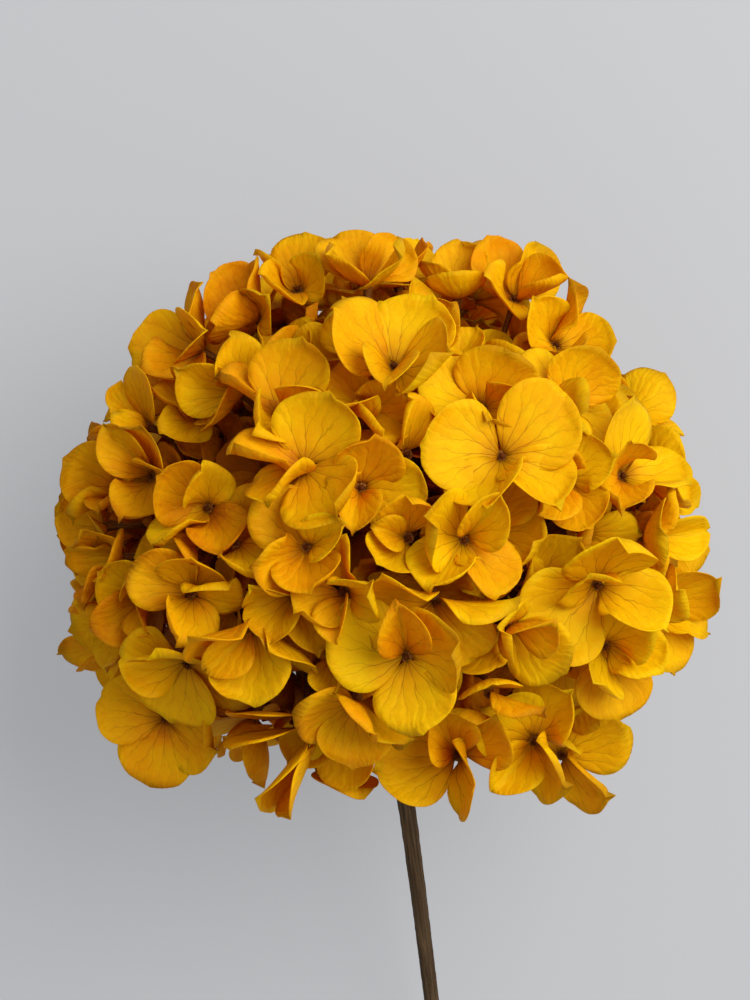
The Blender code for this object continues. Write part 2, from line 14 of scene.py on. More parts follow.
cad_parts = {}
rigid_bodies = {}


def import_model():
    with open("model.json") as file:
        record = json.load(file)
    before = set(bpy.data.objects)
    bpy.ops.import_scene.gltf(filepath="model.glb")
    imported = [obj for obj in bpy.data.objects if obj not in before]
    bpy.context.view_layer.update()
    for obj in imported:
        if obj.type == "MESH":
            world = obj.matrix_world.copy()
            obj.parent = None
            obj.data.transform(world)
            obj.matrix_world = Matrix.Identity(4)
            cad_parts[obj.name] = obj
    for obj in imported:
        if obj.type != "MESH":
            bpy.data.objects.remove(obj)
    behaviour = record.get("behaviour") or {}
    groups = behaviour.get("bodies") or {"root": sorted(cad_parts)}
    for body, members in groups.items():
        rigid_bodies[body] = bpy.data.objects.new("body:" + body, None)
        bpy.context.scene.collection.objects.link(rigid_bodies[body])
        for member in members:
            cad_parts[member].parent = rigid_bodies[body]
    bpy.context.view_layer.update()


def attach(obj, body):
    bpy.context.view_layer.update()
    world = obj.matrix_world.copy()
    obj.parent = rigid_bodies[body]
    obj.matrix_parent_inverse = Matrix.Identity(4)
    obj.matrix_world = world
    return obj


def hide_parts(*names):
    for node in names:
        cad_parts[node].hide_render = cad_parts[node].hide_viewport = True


bl_info = {
    "name": "Preserved Hydrangea Flower",
    "version": (1, 0, 0),
    "blender": (4, 5, 0),
    "location": "View3D > Sidebar > Hydrangea",
    "description": "Builds the papery sepals, eyes, stalks, stem and stage of a preserved hydrangea",
    "category": "Object",
}

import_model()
BODY = "root"

# The way that the flower lies: its axis climbs from the cut end to the top, and its front looks up.
HEAD_TILT = math.radians(20)
HEAD_CENTRE = Vector((-0.0013, 0.0652, 0.0765))
RIGHT = Vector((1, 0, 0))
AXIS = Vector((0, math.cos(HEAD_TILT), math.sin(HEAD_TILT)))
FRONT = Vector((0, -math.sin(HEAD_TILT), math.cos(HEAD_TILT)))

# The rounded head on which the floret centres sit.
HEAD_HALF_WIDTH = 0.079
HEAD_TOP = 0.072
HEAD_BOTTOM = 0.061
HEAD_SHOULDER = 1.35
FLORET_FLOOR = 0.0085
FILL_POINTS = 190
FILL_SPACING = 0.0145
FILL_LOWEST = -44
FILL_RISE = (-0.014, -0.004)
FILL_LENGTH = (0.0125, 0.0158)
FILL_LEAN = 20
FILL_OPENINGS = ((62, 82), (36, 60))
FILL_FORMS = "ffccsszzvr"
AZIMUTH_JITTER = 4
SPIN_JITTER = 8
SEED = 11

# Stem and branches.
CROWN_DEPTH = 0.015
CROWN_SIDE = -0.002
CROWN_CENTRE = HEAD_CENTRE - CROWN_DEPTH * AXIS + CROWN_SIDE * RIGHT
CROWN_RADIUS = 0.0058
STEM_LEAN = math.radians(7)
STEM_BOW = 0.0015
STEM_RADII = (0.0032, 0.0025, 0.0021, 0.0020)
STEM_STATIONS = (0.0, 0.28, 0.5, 1.0)
RAY_COUNT = 8
RAY_REACH = 0.023
RAY_RADII = (0.0017, 0.0014)
BRANCH_RADII = (0.0011, 0.0009)
CYMULE_COUNT = 46
GROUP_REACH = 0.92
GROUP_ROUNDS = 12
FORK_SHARES = (0.60, 0.53, 0.66, 0.47, 0.72)
FORK_KNOB = 0.0017
PEDICEL_RADII = (0.0007, 0.0007, 0.0011)
PEDICEL_BEND = 0.008
TUBE_MARGIN = 1.1
RAY_SIDES = 6
GAP = 0.0003

# Sepals, in the blade's own axes: x from the eye to the tip, y across, z towards the floret's front.
SEPAL_THICKNESS = 0.0005
SEPAL_ROOT = 0.0015
SEPAL_ROOT_HALF = 0.0006
SEPAL_WIDEST = 0.52
SEPAL_TIP = 0.48
SEPAL_LENGTHS = (0.94, 1.06)
SEPAL_WIDTHS = (1.04, 1.26)
SEPAL_CLEARANCE = 0.00035
# Sepals of one floret start at least this far apart, in degrees, and may meet up to this share of the way
# from the root to the widest line.
SEPAL_APART = 52
SHARED_ROOT = 0.16
# Each form's fold along the midrib, its turn at mid-length and its twist about its length, in degrees.
FORMS = {
    "f": (6, 5, 0),
    "c": (18, 28, 0),
    "r": (6, -26, 0),
    "v": (60, 4, 0),
    "s": (28, 12, 46),
    "z": (28, 12, -46),
}
POINTED_FORMS = "vsz"
NEAR_STEPS = (0, -4, 4, -8, 8, -13, 14)
FAR_STEPS = (20, 27, -19, 35, 44)
# What a sepal tries in turn where it finds no room: its own form at full size, smaller, twisted or folded.
FALLBACKS = ((1.0, None), (0.9, None), (0.9, "s"), (0.9, "z"), (0.78, None), (0.75, "v"))
TURN_STEPS = (0, 9, -9)
# A floret whose axis dips below this height component lies on the surface. Its sepals start half open.
FACING_FLOOR = -0.45
FLOOR_OPENING = 46
FLOOR_STEPS = range(0, 60, 2)
FLOOR_GAP = 0.0001
NEIGHBOUR_MARGIN = 0.004

# The florets that show on the front: azimuth and latitude on the head, rise in mm, the way that the floret
# faces (degrees to the right and to the top), sepal length in mm, and for each sepal its direction in the
# floret, its opening from the floret's axis and its form.
FEATURE_FLORETS = (
    (25, 32, 4, 10, 5, 18.5, ((165, 84, "f"), (35, 82, "f"), (247, 52, "s"), (309, 52, "z"))),
    (4, 0, 5, -4, -2, 17.5, ((168, 84, "f"), (285, 80, "f"), (28, 64, "c"), (98, 42, "v"))),
    (39, 7, 3, 8, -12, 19, ((214, 84, "f"), (91, 60, "c"), (152, 48, "s"), (330, 54, "z"))),
    (-45, -27, 5, -6, -8, 16.5, ((160, 84, "f"), (256, 80, "f"), (345, 70, "c"), (55, 74, "f"))),
    (-15, 31, 5, -6, 12, 17, ((76, 72, "f"), (180, 64, "s"), (308, 74, "c"), (245, 44, "z"))),
    (16, -33, 2, -8, 6, 19, ((196, 80, "f"), (122, 48, "v"), (318, 32, "s"), (50, 52, "c"))),
    (48, -43, 6, 10, -10, 16.5, ((28, 76, "f"), (122, 54, "z"), (325, 34, "s"))),
    (-13, 18, 2, -6, 6, 14, ((135, 80, "f"), (282, 62, "c"), (208, 46, "z"), (20, 52, "v"))),
    (56, 23, 0, 40, 10, 17, ((82, 74, "f"), (205, 62, "s"), (330, 58, "z"), (145, 46, "s"))),
    (50, 38, 1, 30, 28, 16.5, ((312, 78, "f"), (135, 74, "f"), (50, 56, "c"), (225, 48, "z"))),
    (4, 50, 3, 4, 30, 18, ((62, 74, "f"), (150, 70, "f"), (335, 56, "c"), (250, 50, "v"))),
    (-25, 40, 2, -8, 25, 16.5, ((80, 72, "f"), (150, 54, "s"), (12, 50, "c"), (262, 46, "z"))),
    (-33, 7, 3, -12, -5, 14.5, ((155, 76, "f"), (25, 60, "s"), (90, 62, "c"), (275, 44, "z"))),
    (-6, 11, 3, -20, 0, 13.5, ((95, 70, "c"), (212, 68, "c"), (285, 46, "v"), (15, 46, "s"))),
    (-21, 3, 3, -8, -36, 18, ((277, 60, "c"), (345, 58, "c"), (165, 62, "z"), (217, 50, "s"))),
    (-35, -9, 2, -28, -52, 17.5, ((95, 76, "f"), (165, 74, "f"), (245, 66, "f"), (330, 78, "f"))),
    (31, -29, 4, 5, -10, 17, ((138, 68, "f"), (62, 54, "z"), (225, 54, "v"), (318, 42, "s"))),
    (9, 9, 2, 6, -40, 17, ((152, 72, "z"), (12, 74, "s"), (300, 76, "f"), (230, 60, "c"))),
    (15, 19, 1, 10, -8, 16, ((300, 62, "z"), (55, 52, "v"), (150, 62, "c"), (225, 48, "s"))),
    (5, 20, 0, 0, 0, 13.5, ((235, 62, "c"), (100, 58, "c"), (168, 46, "z"), (335, 56, "f"))),
    (22, 2, 0, 8, -35, 15.5, ((212, 66, "s"), (332, 64, "f"), (120, 46, "z"), (45, 48, "v"))),
    (59, -5, 1, 42, -12, 15.5, ((264, 70, "f"), (35, 60, "c"), (335, 54, "s"), (125, 50, "c"))),
    (44, -9, 0, 22, -18, 16, ((272, 72, "f"), (202, 60, "c"), (60, 48, "z"), (338, 50, "s"))),
    (56, 11, 1, 48, 0, 14.5, ((150, 54, "c"), (75, 56, "c"), (250, 52, "z"), (345, 48, "v"))),
    (-4, -13, 2, 0, -50, 14.5, ((168, 70, "f"), (264, 60, "c"), (338, 60, "s"), (60, 52, "z"))),
    (-13, -26, 3, -50, -49, 19, ((321, 12, "f"), (141, 12, "f"))),
    (-16, -21, 1, -65, -4, 17, ((290, 12, "f"), (110, 12, "f"))),
    (-15, -44, 0, 55, -12, 16, ((246, 12, "f"), (66, 12, "f"))),
    (27, 42, -1, 8, 25, 15.5, ((168, 72, "f"), (62, 62, "f"), (345, 50, "s"), (270, 46, "z"))),
    (-51, 24, 1, -35, 10, 15, ((70, 54, "c"), (135, 52, "v"), (15, 50, "s"), (285, 54, "z"))),
    (-62, 19, -1, -50, 8, 14, ((75, 60, "f"), (150, 60, "c"), (255, 52, "s"), (335, 46, "z"))),
    (-65, 10, -2, -60, 0, 12.5, ((275, 60, "f"), (100, 58, "c"), (187, 56, "c"), (10, 46, "v"))),
    (-55, 7, -1, -48, -5, 13.5, ((98, 56, "c"), (180, 54, "c"), (265, 50, "s"), (10, 46, "z"))),
    (-46, 2, 0, -30, -8, 13.5, ((150, 56, "c"), (75, 52, "s"), (232, 50, "z"), (330, 48, "v"))),
    (-57, -7, -3, -52, -25, 14, ((200, 60, "f"), (278, 56, "c"), (110, 52, "c"), (20, 46, "s"))),
    (-34, 22, 1, -28, -5, 15, ((320, 58, "z"), (152, 58, "c"), (80, 52, "c"), (235, 50, "s"))),
    (-37, 15, -1, -22, 5, 14, ((138, 62, "c"), (60, 48, "z"), (218, 52, "v"), (325, 48, "s"))),
    (-27, 17, 0, -15, 5, 14, ((68, 62, "c"), (150, 48, "z"), (238, 48, "s"), (320, 46, "z"))),
    (-15, 9, -2, -5, -20, 14, ((150, 54, "v"), (222, 52, "s"), (300, 56, "z"), (60, 46, "s"))),
    (-4, 29, -2, 5, 5, 14, ((75, 58, "c"), (160, 52, "z"), (342, 60, "f"), (250, 50, "v"))),
    (-4, 44, -3, 0, 20, 15, ((200, 50, "s"), (112, 46, "z"), (22, 48, "s"), (290, 50, "z"))),
    (6, 35, -2, 0, 10, 15.5, ((100, 58, "c"), (190, 48, "v"), (280, 50, "s"), (10, 48, "z"))),
    (40, 26, -1, 20, -5, 14.5, ((290, 66, "c"), (30, 56, "s"), (110, 46, "z"), (200, 46, "v"))),
    (-77, -28, -1, -40, -50, 15, ((178, 74, "f"), (108, 60, "c"), (250, 60, "s"), (330, 52, "z"))),
    (-65, -45, -5, -15, -40, 14, ((172, 62, "c"), (250, 60, "s"), (340, 58, "c"), (80, 50, "z"))),
    (-9, -27, -4, -5, -45, 15, ((302, 60, "c"), (218, 56, "c"), (120, 50, "v"), (20, 50, "s"))),
    (20, -15, -1, 0, -30, 13.5, ((100, 54, "c"), (190, 50, "c"), (280, 46, "z"), (10, 50, "s"))),
    (88, 58, 1, 15, 45, 16, ((112, 66, "f"), (45, 62, "c"), (200, 54, "z"), (330, 52, "v"))),
    (76, 48, -1, 40, 30, 15, ((65, 52, "s"), (130, 52, "z"), (320, 60, "c"), (220, 48, "s"))),
    (86, 68, -4, 0, 60, 14, ((90, 54, "c"), (170, 52, "c"), (270, 52, "c"), (0, 54, "c"))),
    (-12, 73, 1, 0, 55, 15.5, ((120, 66, "f"), (50, 64, "f"), (212, 56, "c"), (320, 54, "c"))),
    (-68, 67, 0, -15, 45, 14.5, ((95, 62, "f"), (160, 58, "c"), (250, 48, "z"), (20, 50, "v"))),
    (-68, 58, -1, -35, 30, 15, ((95, 50, "s"), (25, 50, "z"), (165, 54, "c"), (290, 48, "s"))),
    (-75, 47, -1, -46, 20, 18, ((95, 72, "f"), (215, 70, "f"), (285, 46, "z"), (20, 46, "v"))),
    (-41, 43, 0, -25, 15, 14.5, ((100, 52, "s"), (180, 50, "z"), (280, 50, "s"), (20, 48, "z"))),
    (-64, 31, 0, -55, 15, 15, ((85, 58, "f"), (155, 60, "c"), (230, 52, "v"), (330, 48, "s"))),
    (-54, 38, -5, -30, 20, 14, ((90, 48, "z"), (180, 48, "s"), (270, 48, "z"), (0, 48, "v"))),
    (-9, -3, -3, -5, -20, 14, ((110, 50, "s"), (200, 52, "c"), (290, 56, "c"), (20, 48, "z"))),
)

# Unit sepals: how many of each form, their seed, and the ranges of their own shapes, in sepal lengths and
# radians.
BLADE_KINDS = {"f": 8, "c": 6, "r": 4, "v": 5, "s": 6, "z": 6}
BLADE_SEED = 5
BLADE_CELLS = 10
UNDER_CELLS = 6
BLADE_LENGTH = 0.017
MIDRIB_STEPS = 24
ROOT_SHARE = 0.055
ROOT_POWER = 6
TWIST_REACH = 0.42
ROUNDNESS = (0.80, 1.05)
POINTED_ROUNDNESS = (1.10, 1.40)
CLAW = (0.18, 0.42)
TURN_CHANGE = (-0.16, 0.16)
TURN_GAIN = 1.15
ARCH = (-0.30, 0.35)
CUP = (0.05, 0.42)
FOLDED_CUP = 0.3
REFLEXED_CUP = (0.05, 0.35)
WAVE_SHARE = (0.5, 1.7)
REFLEXED_WAVE = 1.6
LONG_WAVES = (2, 3)
SHORT_WAVES = (4, 6)
CURLS = (-0.10, 0.0, 0.0, 0.10, 0.22)
TIP_CURL = (-0.10, 0.14)
NOTCHES = (-0.03, 0.0, 0.02, 0.05, 0.06)
NOTCH_WIDTH = 0.25
LOBES = (3, 5, 9)
LOBE_SIZE = (0.001, 0.008)
SKEW = (-0.09, 0.09)
FOLD_RADIUS = 0.09
POINTED_FOLD_RADIUS = 0.03
FOLD_EASE = 0.3
CRUMPLE = 0.012
CRUMPLE_CELLS = (4, 5)
SEED_SPAN = 50

# How a sepal sits on its floret: tucked under the eye, a little wider than its plate, and rolled to one side.
SEPAL_TUCK = 0.0006
SEPAL_SPREAD = 1.04
SEPAL_ROLL = (0.04, 0.16)
# Each sepal's own random tone, from yellow towards orange.
TINT_SEED = 21
TINT_RANGE = (0.05, 0.80, 0.25)
# Painted shade added to that tone: more on the bloom's left, away from the key light, and most on the
# under-florets, which lie in the head's shade.
SIDE_PAINTED_SHADE = 0.26
UNDER_PAINTED_SHADE = 0.65

# Eye buds, a unit wide: a lobed bead and its shrunken stamens.
EYE_SEED = 3
EYE_KINDS = 5
EYE_SPREAD = (0.85, 1.2)
EYE_COLOUR = (0.080, 0.020, 0.003)
BEAD_RADIUS = 0.30
BEAD_HEIGHT = 0.85
BEAD_LIFT = 0.26
BEAD_LOBES = (4, 5)
BEAD_LOBE = 0.16
BEAD_ROUGHNESS = 0.10
BEAD_CELLS = 9
STAMEN_COUNT = (7, 10)
STAMEN_PLACES = 8
STAMEN_STRAY = (-0.3, 0.3)
STAMEN_LEAN = (0.5, 1.25)
STAMEN_LENGTH = (0.30, 0.62)
STAMEN_RADII = (0.05, 0.022)
STAMEN_START = 0.1
ANTHER_RADIUS = 0.065

# Small florets below the main ones.
UNDER_SEED = 17
UNDER_POINTS = 340
UNDER_START = 40
UNDER_RISE = (-0.024, -0.009)
UNDER_LENGTH = (0.0095, 0.0130)
UNDER_OPENING = (44, 78)
UNDER_FORMS = "ffccsz"
UNDER_SPACING = 0.0100
UNDER_LEAN = 0.30
UNDER_SEPALS = 2

# Stalks: a pedicel as (share of the way, radius) from fork to bend and from bend to eye, and a branch's radii
# as shares of its thick and thin ends. The stem swells into its crown over the first shares of its way.
PEDICEL_START = ((0, 0.0015), (0.12, 0.00125), (0.3, 0.0008), (1, 0.00068))
PEDICEL_END = ((0.55, 0.00080), (1, 0.0014))
BRANCH_FOOT = 1.55
BRANCH_NECK = 1.1
BRANCH_KNOB = 1.5
BRANCH_SHARES = (0.15, 0.5, 0.85)
BRANCH_BOW = 0.05
RAY_OVERLAP = 0.002
CROWN_SHARES = (0.0, 0.02, 0.06, 0.4)
CROWN_SWELL = (0.9 * CROWN_RADIUS, 0.95 * CROWN_RADIUS, 0.62 * CROWN_RADIUS, 0.0027)
STALK_SKIN = {"Step": 0.0015, "Sides": 8, "Relief": 0.0003, "Relief_Size": 0.002}
STEM_SKIN = {"Step": 0.001, "Sides": 20, "Relief": 0.0004, "Relief_Size": 0.0024}

# Veins, in sepal lengths and radians: the angle between two, each fork's start and end, and their waver.
VEIN_SPACING = 0.36
VEIN_FORKS = ((0.22, 0.62), (0.52, 0.95), (0.80, 1.20))
FAN_SETBACK = 0.04
VEIN_DELAY = 0.22
WAVER_CELLS = (2.6, 2.6, 9.0)
VEIN_WAVER = 0.42
VEIN_WIDTH = 0.0085
CREASE_WIDTH = 0.06
NET_CELLS = 8
NET_WIDTH = 0.05
NET_SEEDING = (1.0, 1.0, 7.0)
NET_FADE = (0.3, 0.9, 0.0, 0.4)

# Papery finish of the sepals. A fade is (near, far, at near, at far) by distance from the root, and the deep
# painted shade's is by colour depth: it browns the deepest sepals, mostly the under-florets and the bloom's
# left, where shade falls.
BLOTCH_WEIGHT = 0.30
GRAIN_WEIGHT = 0.14
YELLOW_LEVEL = 0.24
ROOT_SHADE = (0.10, 0.65, 0.30, 0.0)
ROOT_STAIN = (0.06, 0.34, 0.50, 0.0)
VEIN_FADE = (0.08, 0.95, 0.72, 0.15)
DEEP_PAINTED_SHADE = (0.95, 1.70, 0.0, 0.6)
RIM_FADE = (0.84, 1.04)
RIM_WEIGHT = 0.6
PETAL_ROUGHNESS = 0.6
PETAL_SPECULAR = 0.07
PETAL_BUMP = (0.45, 0.0005)
CREASE_DEPTH = -0.45
WRINKLE_DEPTH = 0.8
WRINKLE_CELLS = (5.0, 7.0, 5.0)
PETAL_BLOTCH = 0.008
PETAL_GRAIN = 0.0012
THIN_SHARE = 0.38
THIN_TINT = (1.0, 0.58, 0.12, 1)

# Dried stalk and bark: the light and the deep streaks as shares of the plain colour.
LIGHT_STREAK = 2.1
DEEP_STREAK = 0.55
DRY_BLOTCHES = 0.6
BLOTCH_PER_STREAK = 3
DRY_SPECULAR = 0.06
DRY_BUMP = (0.7, 0.0004)
ROUGHNESS_CHANGE = (-0.15, 0.1)
DRY_GRAIN = 0.0007
DRY_GRAIN_DEPTH = 0.4
STREAK_CELLS = (60.0, 9.0, 9.0)
STREAK_RANGE = (0.35, 0.7)
BARK_ROUND = 0.35
MOTTLE_RANGE = (0.3, 0.7)
EYE_STREAK = 0.0008
EYE_ROUGHNESS = 0.75
STALK_STREAK = 0.002
STALK_ROUGHNESS = 0.8
BARK_STREAK = 0.004
BARK_ROUGHNESS = 0.72

# Sockets of a Mix node that mixes colours, and the values that a point gives the piece set on it.
MIX_INPUTS = (0, 6, 7)
MIX_RESULT = 2
POINT_VALUES = (("turned", "FLOAT_VECTOR", "vector"), ("stretched", "FLOAT_VECTOR", "vector"),
                ("picked", "INT", "value"), ("tint", "FLOAT", "value"), ("age", "FLOAT", "value"))

# Stage.
FLOOR_SIZE = 30.0
FLOOR_GLOW = 0.45
FLOOR_MOTTLE = 1.03
FLOOR_ROUGHNESS = 0.9
ROOM_COLOUR = (0.93, 0.96, 1.0, 1)
KEY_COLOUR = (1.0, 0.985, 0.955)
KEY_OFFSET = Vector((0.56, 0.36, 0.80))
KEY_SIZE = 1.0
CAMERA_DISTANCE = 0.6
CAMERA_SIDE = -0.0013
CAMERA_UP = 0.0071
CAMERA_NEAR = 0.01
VIEW_HALF_HEIGHT = 0.1316


# Layout of the florets. It repeats the CAD model's, so that every piece lands on its own node.


def on_head(azimuth, latitude, rise):
    """A floret's centre on the rounded head, pressed flat where the head rests, and the way out there."""
    turn = math.radians(azimuth)
    climb = math.radians(latitude)
    across = math.sin(turn) * RIGHT + math.cos(turn) * FRONT
    width = HEAD_HALF_WIDTH * math.cos(climb) ** (HEAD_SHOULDER if latitude > 0 else 1)
    height = HEAD_TOP if latitude > 0 else HEAD_BOTTOM
    outward = math.cos(climb) / HEAD_HALF_WIDTH * across + math.sin(climb) / height * AXIS
    outward.normalize()
    centre = HEAD_CENTRE + width * across + height * math.sin(climb) * AXIS
    centre += rise * outward
    centre.z = max(centre.z, FLORET_FLOOR)
    return centre, outward


def facing(right, up):
    """A direction that many degrees to the right and to the top of straight up."""
    right = math.radians(right)
    up = math.radians(up)
    return Vector((math.sin(right) * math.cos(up), math.sin(up), math.cos(right) * math.cos(up)))


def new_floret(centre, axis, sepals):
    side = AXIS.cross(axis).normalized()
    floret = {"centre": centre, "axis": axis, "side": side, "top": axis.cross(side)}
    return floret | {"slots": sepals, "sepals": list(sepals)}


def new_sepal(direction, opening, form, length, rng):
    return {
        "direction": math.radians(direction),
        "opening": opening,
        "form": form,
        "length": length * rng.uniform(*SEPAL_LENGTHS),
        "width": length * rng.uniform(*SEPAL_WIDTHS),
    }


def feature_florets(rng):
    florets = []
    for azimuth, latitude, rise, right, up, length, rows in FEATURE_FLORETS:
        centre, _ = on_head(azimuth, latitude, rise / 1000)
        sepals = [new_sepal(*row, length / 1000, rng) for row in rows]
        florets.append(new_floret(centre, facing(right, up), sepals))
    return florets


def fill_florets(taken, rng):
    """Florets on an even spiral over the rest of the head, leaning and opened a little at random."""
    golden = math.degrees(math.pi * (3 - math.sqrt(5)))
    florets = []
    for index in range(FILL_POINTS):
        latitude = math.degrees(math.asin(1 - (2 * index + 1) / FILL_POINTS))
        azimuth = (index * golden) % 360 + rng.uniform(-AZIMUTH_JITTER, AZIMUTH_JITTER)
        rise = rng.uniform(*FILL_RISE)
        lean = Vector([math.radians(rng.uniform(-FILL_LEAN, FILL_LEAN)) for _ in range(3)])
        length = rng.uniform(*FILL_LENGTH)
        spin = rng.uniform(0, 90)
        sepals = []
        for quarter in range(4):
            opening = rng.uniform(*FILL_OPENINGS[quarter % 2])
            form = rng.choice(FILL_FORMS)
            direction = spin + 90 * quarter + rng.uniform(-SPIN_JITTER, SPIN_JITTER)
            sepals.append(new_sepal(direction, opening, form, length, rng))
        centre, outward = on_head(azimuth, latitude, rise)
        near = min((centre - other["centre"]).length for other in taken)
        if latitude < FILL_LOWEST or near < FILL_SPACING:
            continue
        sepals = sepals[::2] + sepals[1::2]
        florets.append(new_floret(centre, (outward + lean).normalized(), sepals))
    return florets


def clusters(directions, count):
    """Splits the directions into that many neighbourly groups, and gives (middle, members) of each."""
    golden = math.pi * (3 - math.sqrt(5))
    middles = []
    for index in range(count):
        climb = 1 - (2 * index + 1) / count * GROUP_REACH
        flat = math.sqrt(1 - climb * climb)
        across = math.sin(index * golden) * RIGHT + math.cos(index * golden) * FRONT
        middles.append(flat * across + climb * AXIS)
    for _ in range(GROUP_ROUNDS):
        members = [[] for _ in middles]
        for number, way in enumerate(directions):
            nearest = max(range(len(middles)), key=lambda group: way.dot(middles[group]))
            members[nearest].append(number)
        members = [group for group in members if group]
        middles = [sum((directions[one] for one in group), Vector()).normalized() for group in members]
    return list(zip(middles, members))


# One sepal as a flat outline with a fold, and the search for an opening at which it touches nothing.


def blade_outline(sepal, grow=0.0):
    """The outline's corners in the blade's own axes, from the root round the tip and back."""
    fold, turn, twist = (math.radians(angle) for angle in FORMS[sepal["form"]])
    length = sepal["length"] + grow
    half = sepal["width"] / 2 + grow
    middle = SEPAL_WIDEST * length
    tip = (middle + (length - middle) * math.cos(turn), (length - middle) * math.sin(turn))
    side = (half * math.cos(fold), half * math.sin(fold))
    corners = [(middle, side[0], side[1])]
    if sepal["form"] in POINTED_FORMS:
        corners.append((tip[0], 0, tip[1]))
    else:
        corners.append((tip[0], SEPAL_TIP * side[0], tip[1] + SEPAL_TIP * side[1]))
        corners.append((tip[0], -SEPAL_TIP * side[0], tip[1] + SEPAL_TIP * side[1]))
    corners.append((middle, -side[0], side[1]))
    roll = Matrix.Rotation(twist, 3, "X")
    twisted = [tuple(roll @ Vector(corner)) for corner in corners]
    return [(0, -SEPAL_ROOT_HALF, 0), (0, SEPAL_ROOT_HALF, 0), *twisted]


def blade_axes(floret, sepal):
    opening = math.radians(sepal["opening"])
    away = math.cos(sepal["direction"]) * floret["side"] + math.sin(sepal["direction"]) * floret["top"]
    along = math.sin(opening) * away + math.cos(opening) * floret["axis"]
    front = math.sin(opening) * floret["axis"] - math.cos(opening) * away
    root = floret["centre"] + SEPAL_ROOT * away
    return root, along, front.cross(along), front


def blade_corners(floret, sepal, grow=0.0):
    root, along, across, front = blade_axes(floret, sepal)
    return [root + x * along + y * across + z * front for x, y, z in blade_outline(sepal, grow)]


def blade_faces(count):
    """Corner numbers of the flat faces of an outline with that many corners."""
    if count == 6:
        return ((5, 2, 1, 0), (4, 3, 2, 5))
    return ((3, 1, 0), (3, 2, 1), (4, 3, 0))


def blade_tree(floret, sepal, grow, rooted=True):
    """A collision tree of the blade as a slab, with or without its root, and its lowest height."""
    front = blade_axes(floret, sepal)[3]
    corners = blade_corners(floret, sepal, grow)
    if not rooted:
        corners[0] = corners[0].lerp(corners[-1], SHARED_ROOT)
        corners[1] = corners[1].lerp(corners[2], SHARED_ROOT)
    half = (SEPAL_THICKNESS / 2 + grow) * front
    count = len(corners)
    points = [corner + half for corner in corners] + [corner - half for corner in corners]
    faces = list(blade_faces(count))
    faces += [tuple(number + count for number in reversed(face)) for face in blade_faces(count)]
    faces += [(edge, (edge + 1) % count, (edge + 1) % count + count, edge + count) for edge in range(count)]
    lowest = min(point.z for point in points)
    return BVHTree.FromPolygons(points, faces), lowest


def settle_sepals(florets, branches):
    """Gives each sepal the first free room it finds, front florets first, and drops one that finds none."""
    placed = []
    for floret in florets:
        own = []
        kept = []
        for sepal in floret["slots"]:
            if not find_room(floret, sepal, own, placed, branches):
                continue
            kept.append(sepal)
            own.append(blade_tree(floret, sepal, 0, rooted=False)[0])
        floret["sepals"] = kept
        for sepal in kept:
            placed.append((floret["centre"], sepal["length"], blade_tree(floret, sepal, 0)[0]))


def find_room(floret, sepal, own, placed, branches):
    """Sets the sepal's size, form, opening and turn to the first choice that touches nothing."""
    wished = dict(sepal)
    start = wished["opening"]
    rounds = (NEAR_STEPS, FAR_STEPS)
    if floret["axis"].z < FACING_FLOOR:
        start = FLOOR_OPENING
        rounds = (FLOOR_STEPS,)
    near = [tree for middle, reach, tree in placed
            if (middle - floret["centre"]).length < reach + sepal["length"] + NEIGHBOUR_MARGIN]
    for steps, (shrink, form), turn in itertools.product(rounds, FALLBACKS, TURN_STEPS):
        sepal["length"] = wished["length"] * shrink
        sepal["width"] = wished["width"] * shrink
        sepal["form"] = form or wished["form"]
        sepal["direction"] = wished["direction"] + math.radians(turn)
        for step in steps:
            sepal["opening"] = start + step
            if has_room(floret, sepal, own, near, branches):
                return True
    sepal.update(wished)
    return False


def has_room(floret, sepal, own, near, branches):
    for other in floret["slots"]:
        apart = abs(math.remainder(sepal["direction"] - other["direction"], math.tau))
        if other is not sepal and apart < math.radians(SEPAL_APART):
            return False
    if blade_tree(floret, sepal, 0)[1] < FLOOR_GAP:
        return False
    whole = blade_tree(floret, sepal, SEPAL_CLEARANCE)[0]
    if any(whole.overlap(other) for other in near):
        return False
    outer = blade_tree(floret, sepal, SEPAL_CLEARANCE, rooted=False)[0]
    return not any(outer.overlap(other) for other in own + branches)


# Branches: every floret's pedicel leaves its cymule's fork, and every fork is carried by a ray's branch.


def tube_tree(path, radii, grow=0.0):
    """A collision tree of a plain tube along the path, a little thicker than the real one."""
    points = []
    for number, (place, radius) in enumerate(zip(path, radii)):
        along = (path[min(number + 1, len(path) - 1)] - path[max(number - 1, 0)]).normalized()
        side = along.orthogonal().normalized()
        over = along.cross(side)
        reach = TUBE_MARGIN * radius + grow
        for corner in range(RAY_SIDES):
            turn = math.tau * corner / RAY_SIDES
            points.append(place + reach * (math.cos(turn) * side + math.sin(turn) * over))
    faces = []
    for ring in range(len(path) - 1):
        for corner in range(RAY_SIDES):
            low = RAY_SIDES * ring + corner
            beside = RAY_SIDES * ring + (corner + 1) % RAY_SIDES
            faces.append((low, beside, beside + RAY_SIDES, low + RAY_SIDES))
    return BVHTree.FromPolygons(points, faces)


def stem_path():
    """From the crown down to the cut end, which lies on the surface, with a slight natural bow."""
    away = math.sin(STEM_LEAN) * RIGHT - math.cos(STEM_LEAN) * AXIS
    cut_height = STEM_RADII[-1] * math.cos(HEAD_TILT)
    length = (CROWN_CENTRE.z - cut_height) / -away.z
    path = []
    for station in STEM_STATIONS:
        bow = STEM_BOW * math.sin(math.pi * station) * RIGHT
        path.append(CROWN_CENTRE + station * length * away + bow)
    return path


def pedicel_path(fork, floret):
    return [fork, floret["centre"] - PEDICEL_BEND * floret["axis"], floret["centre"]]


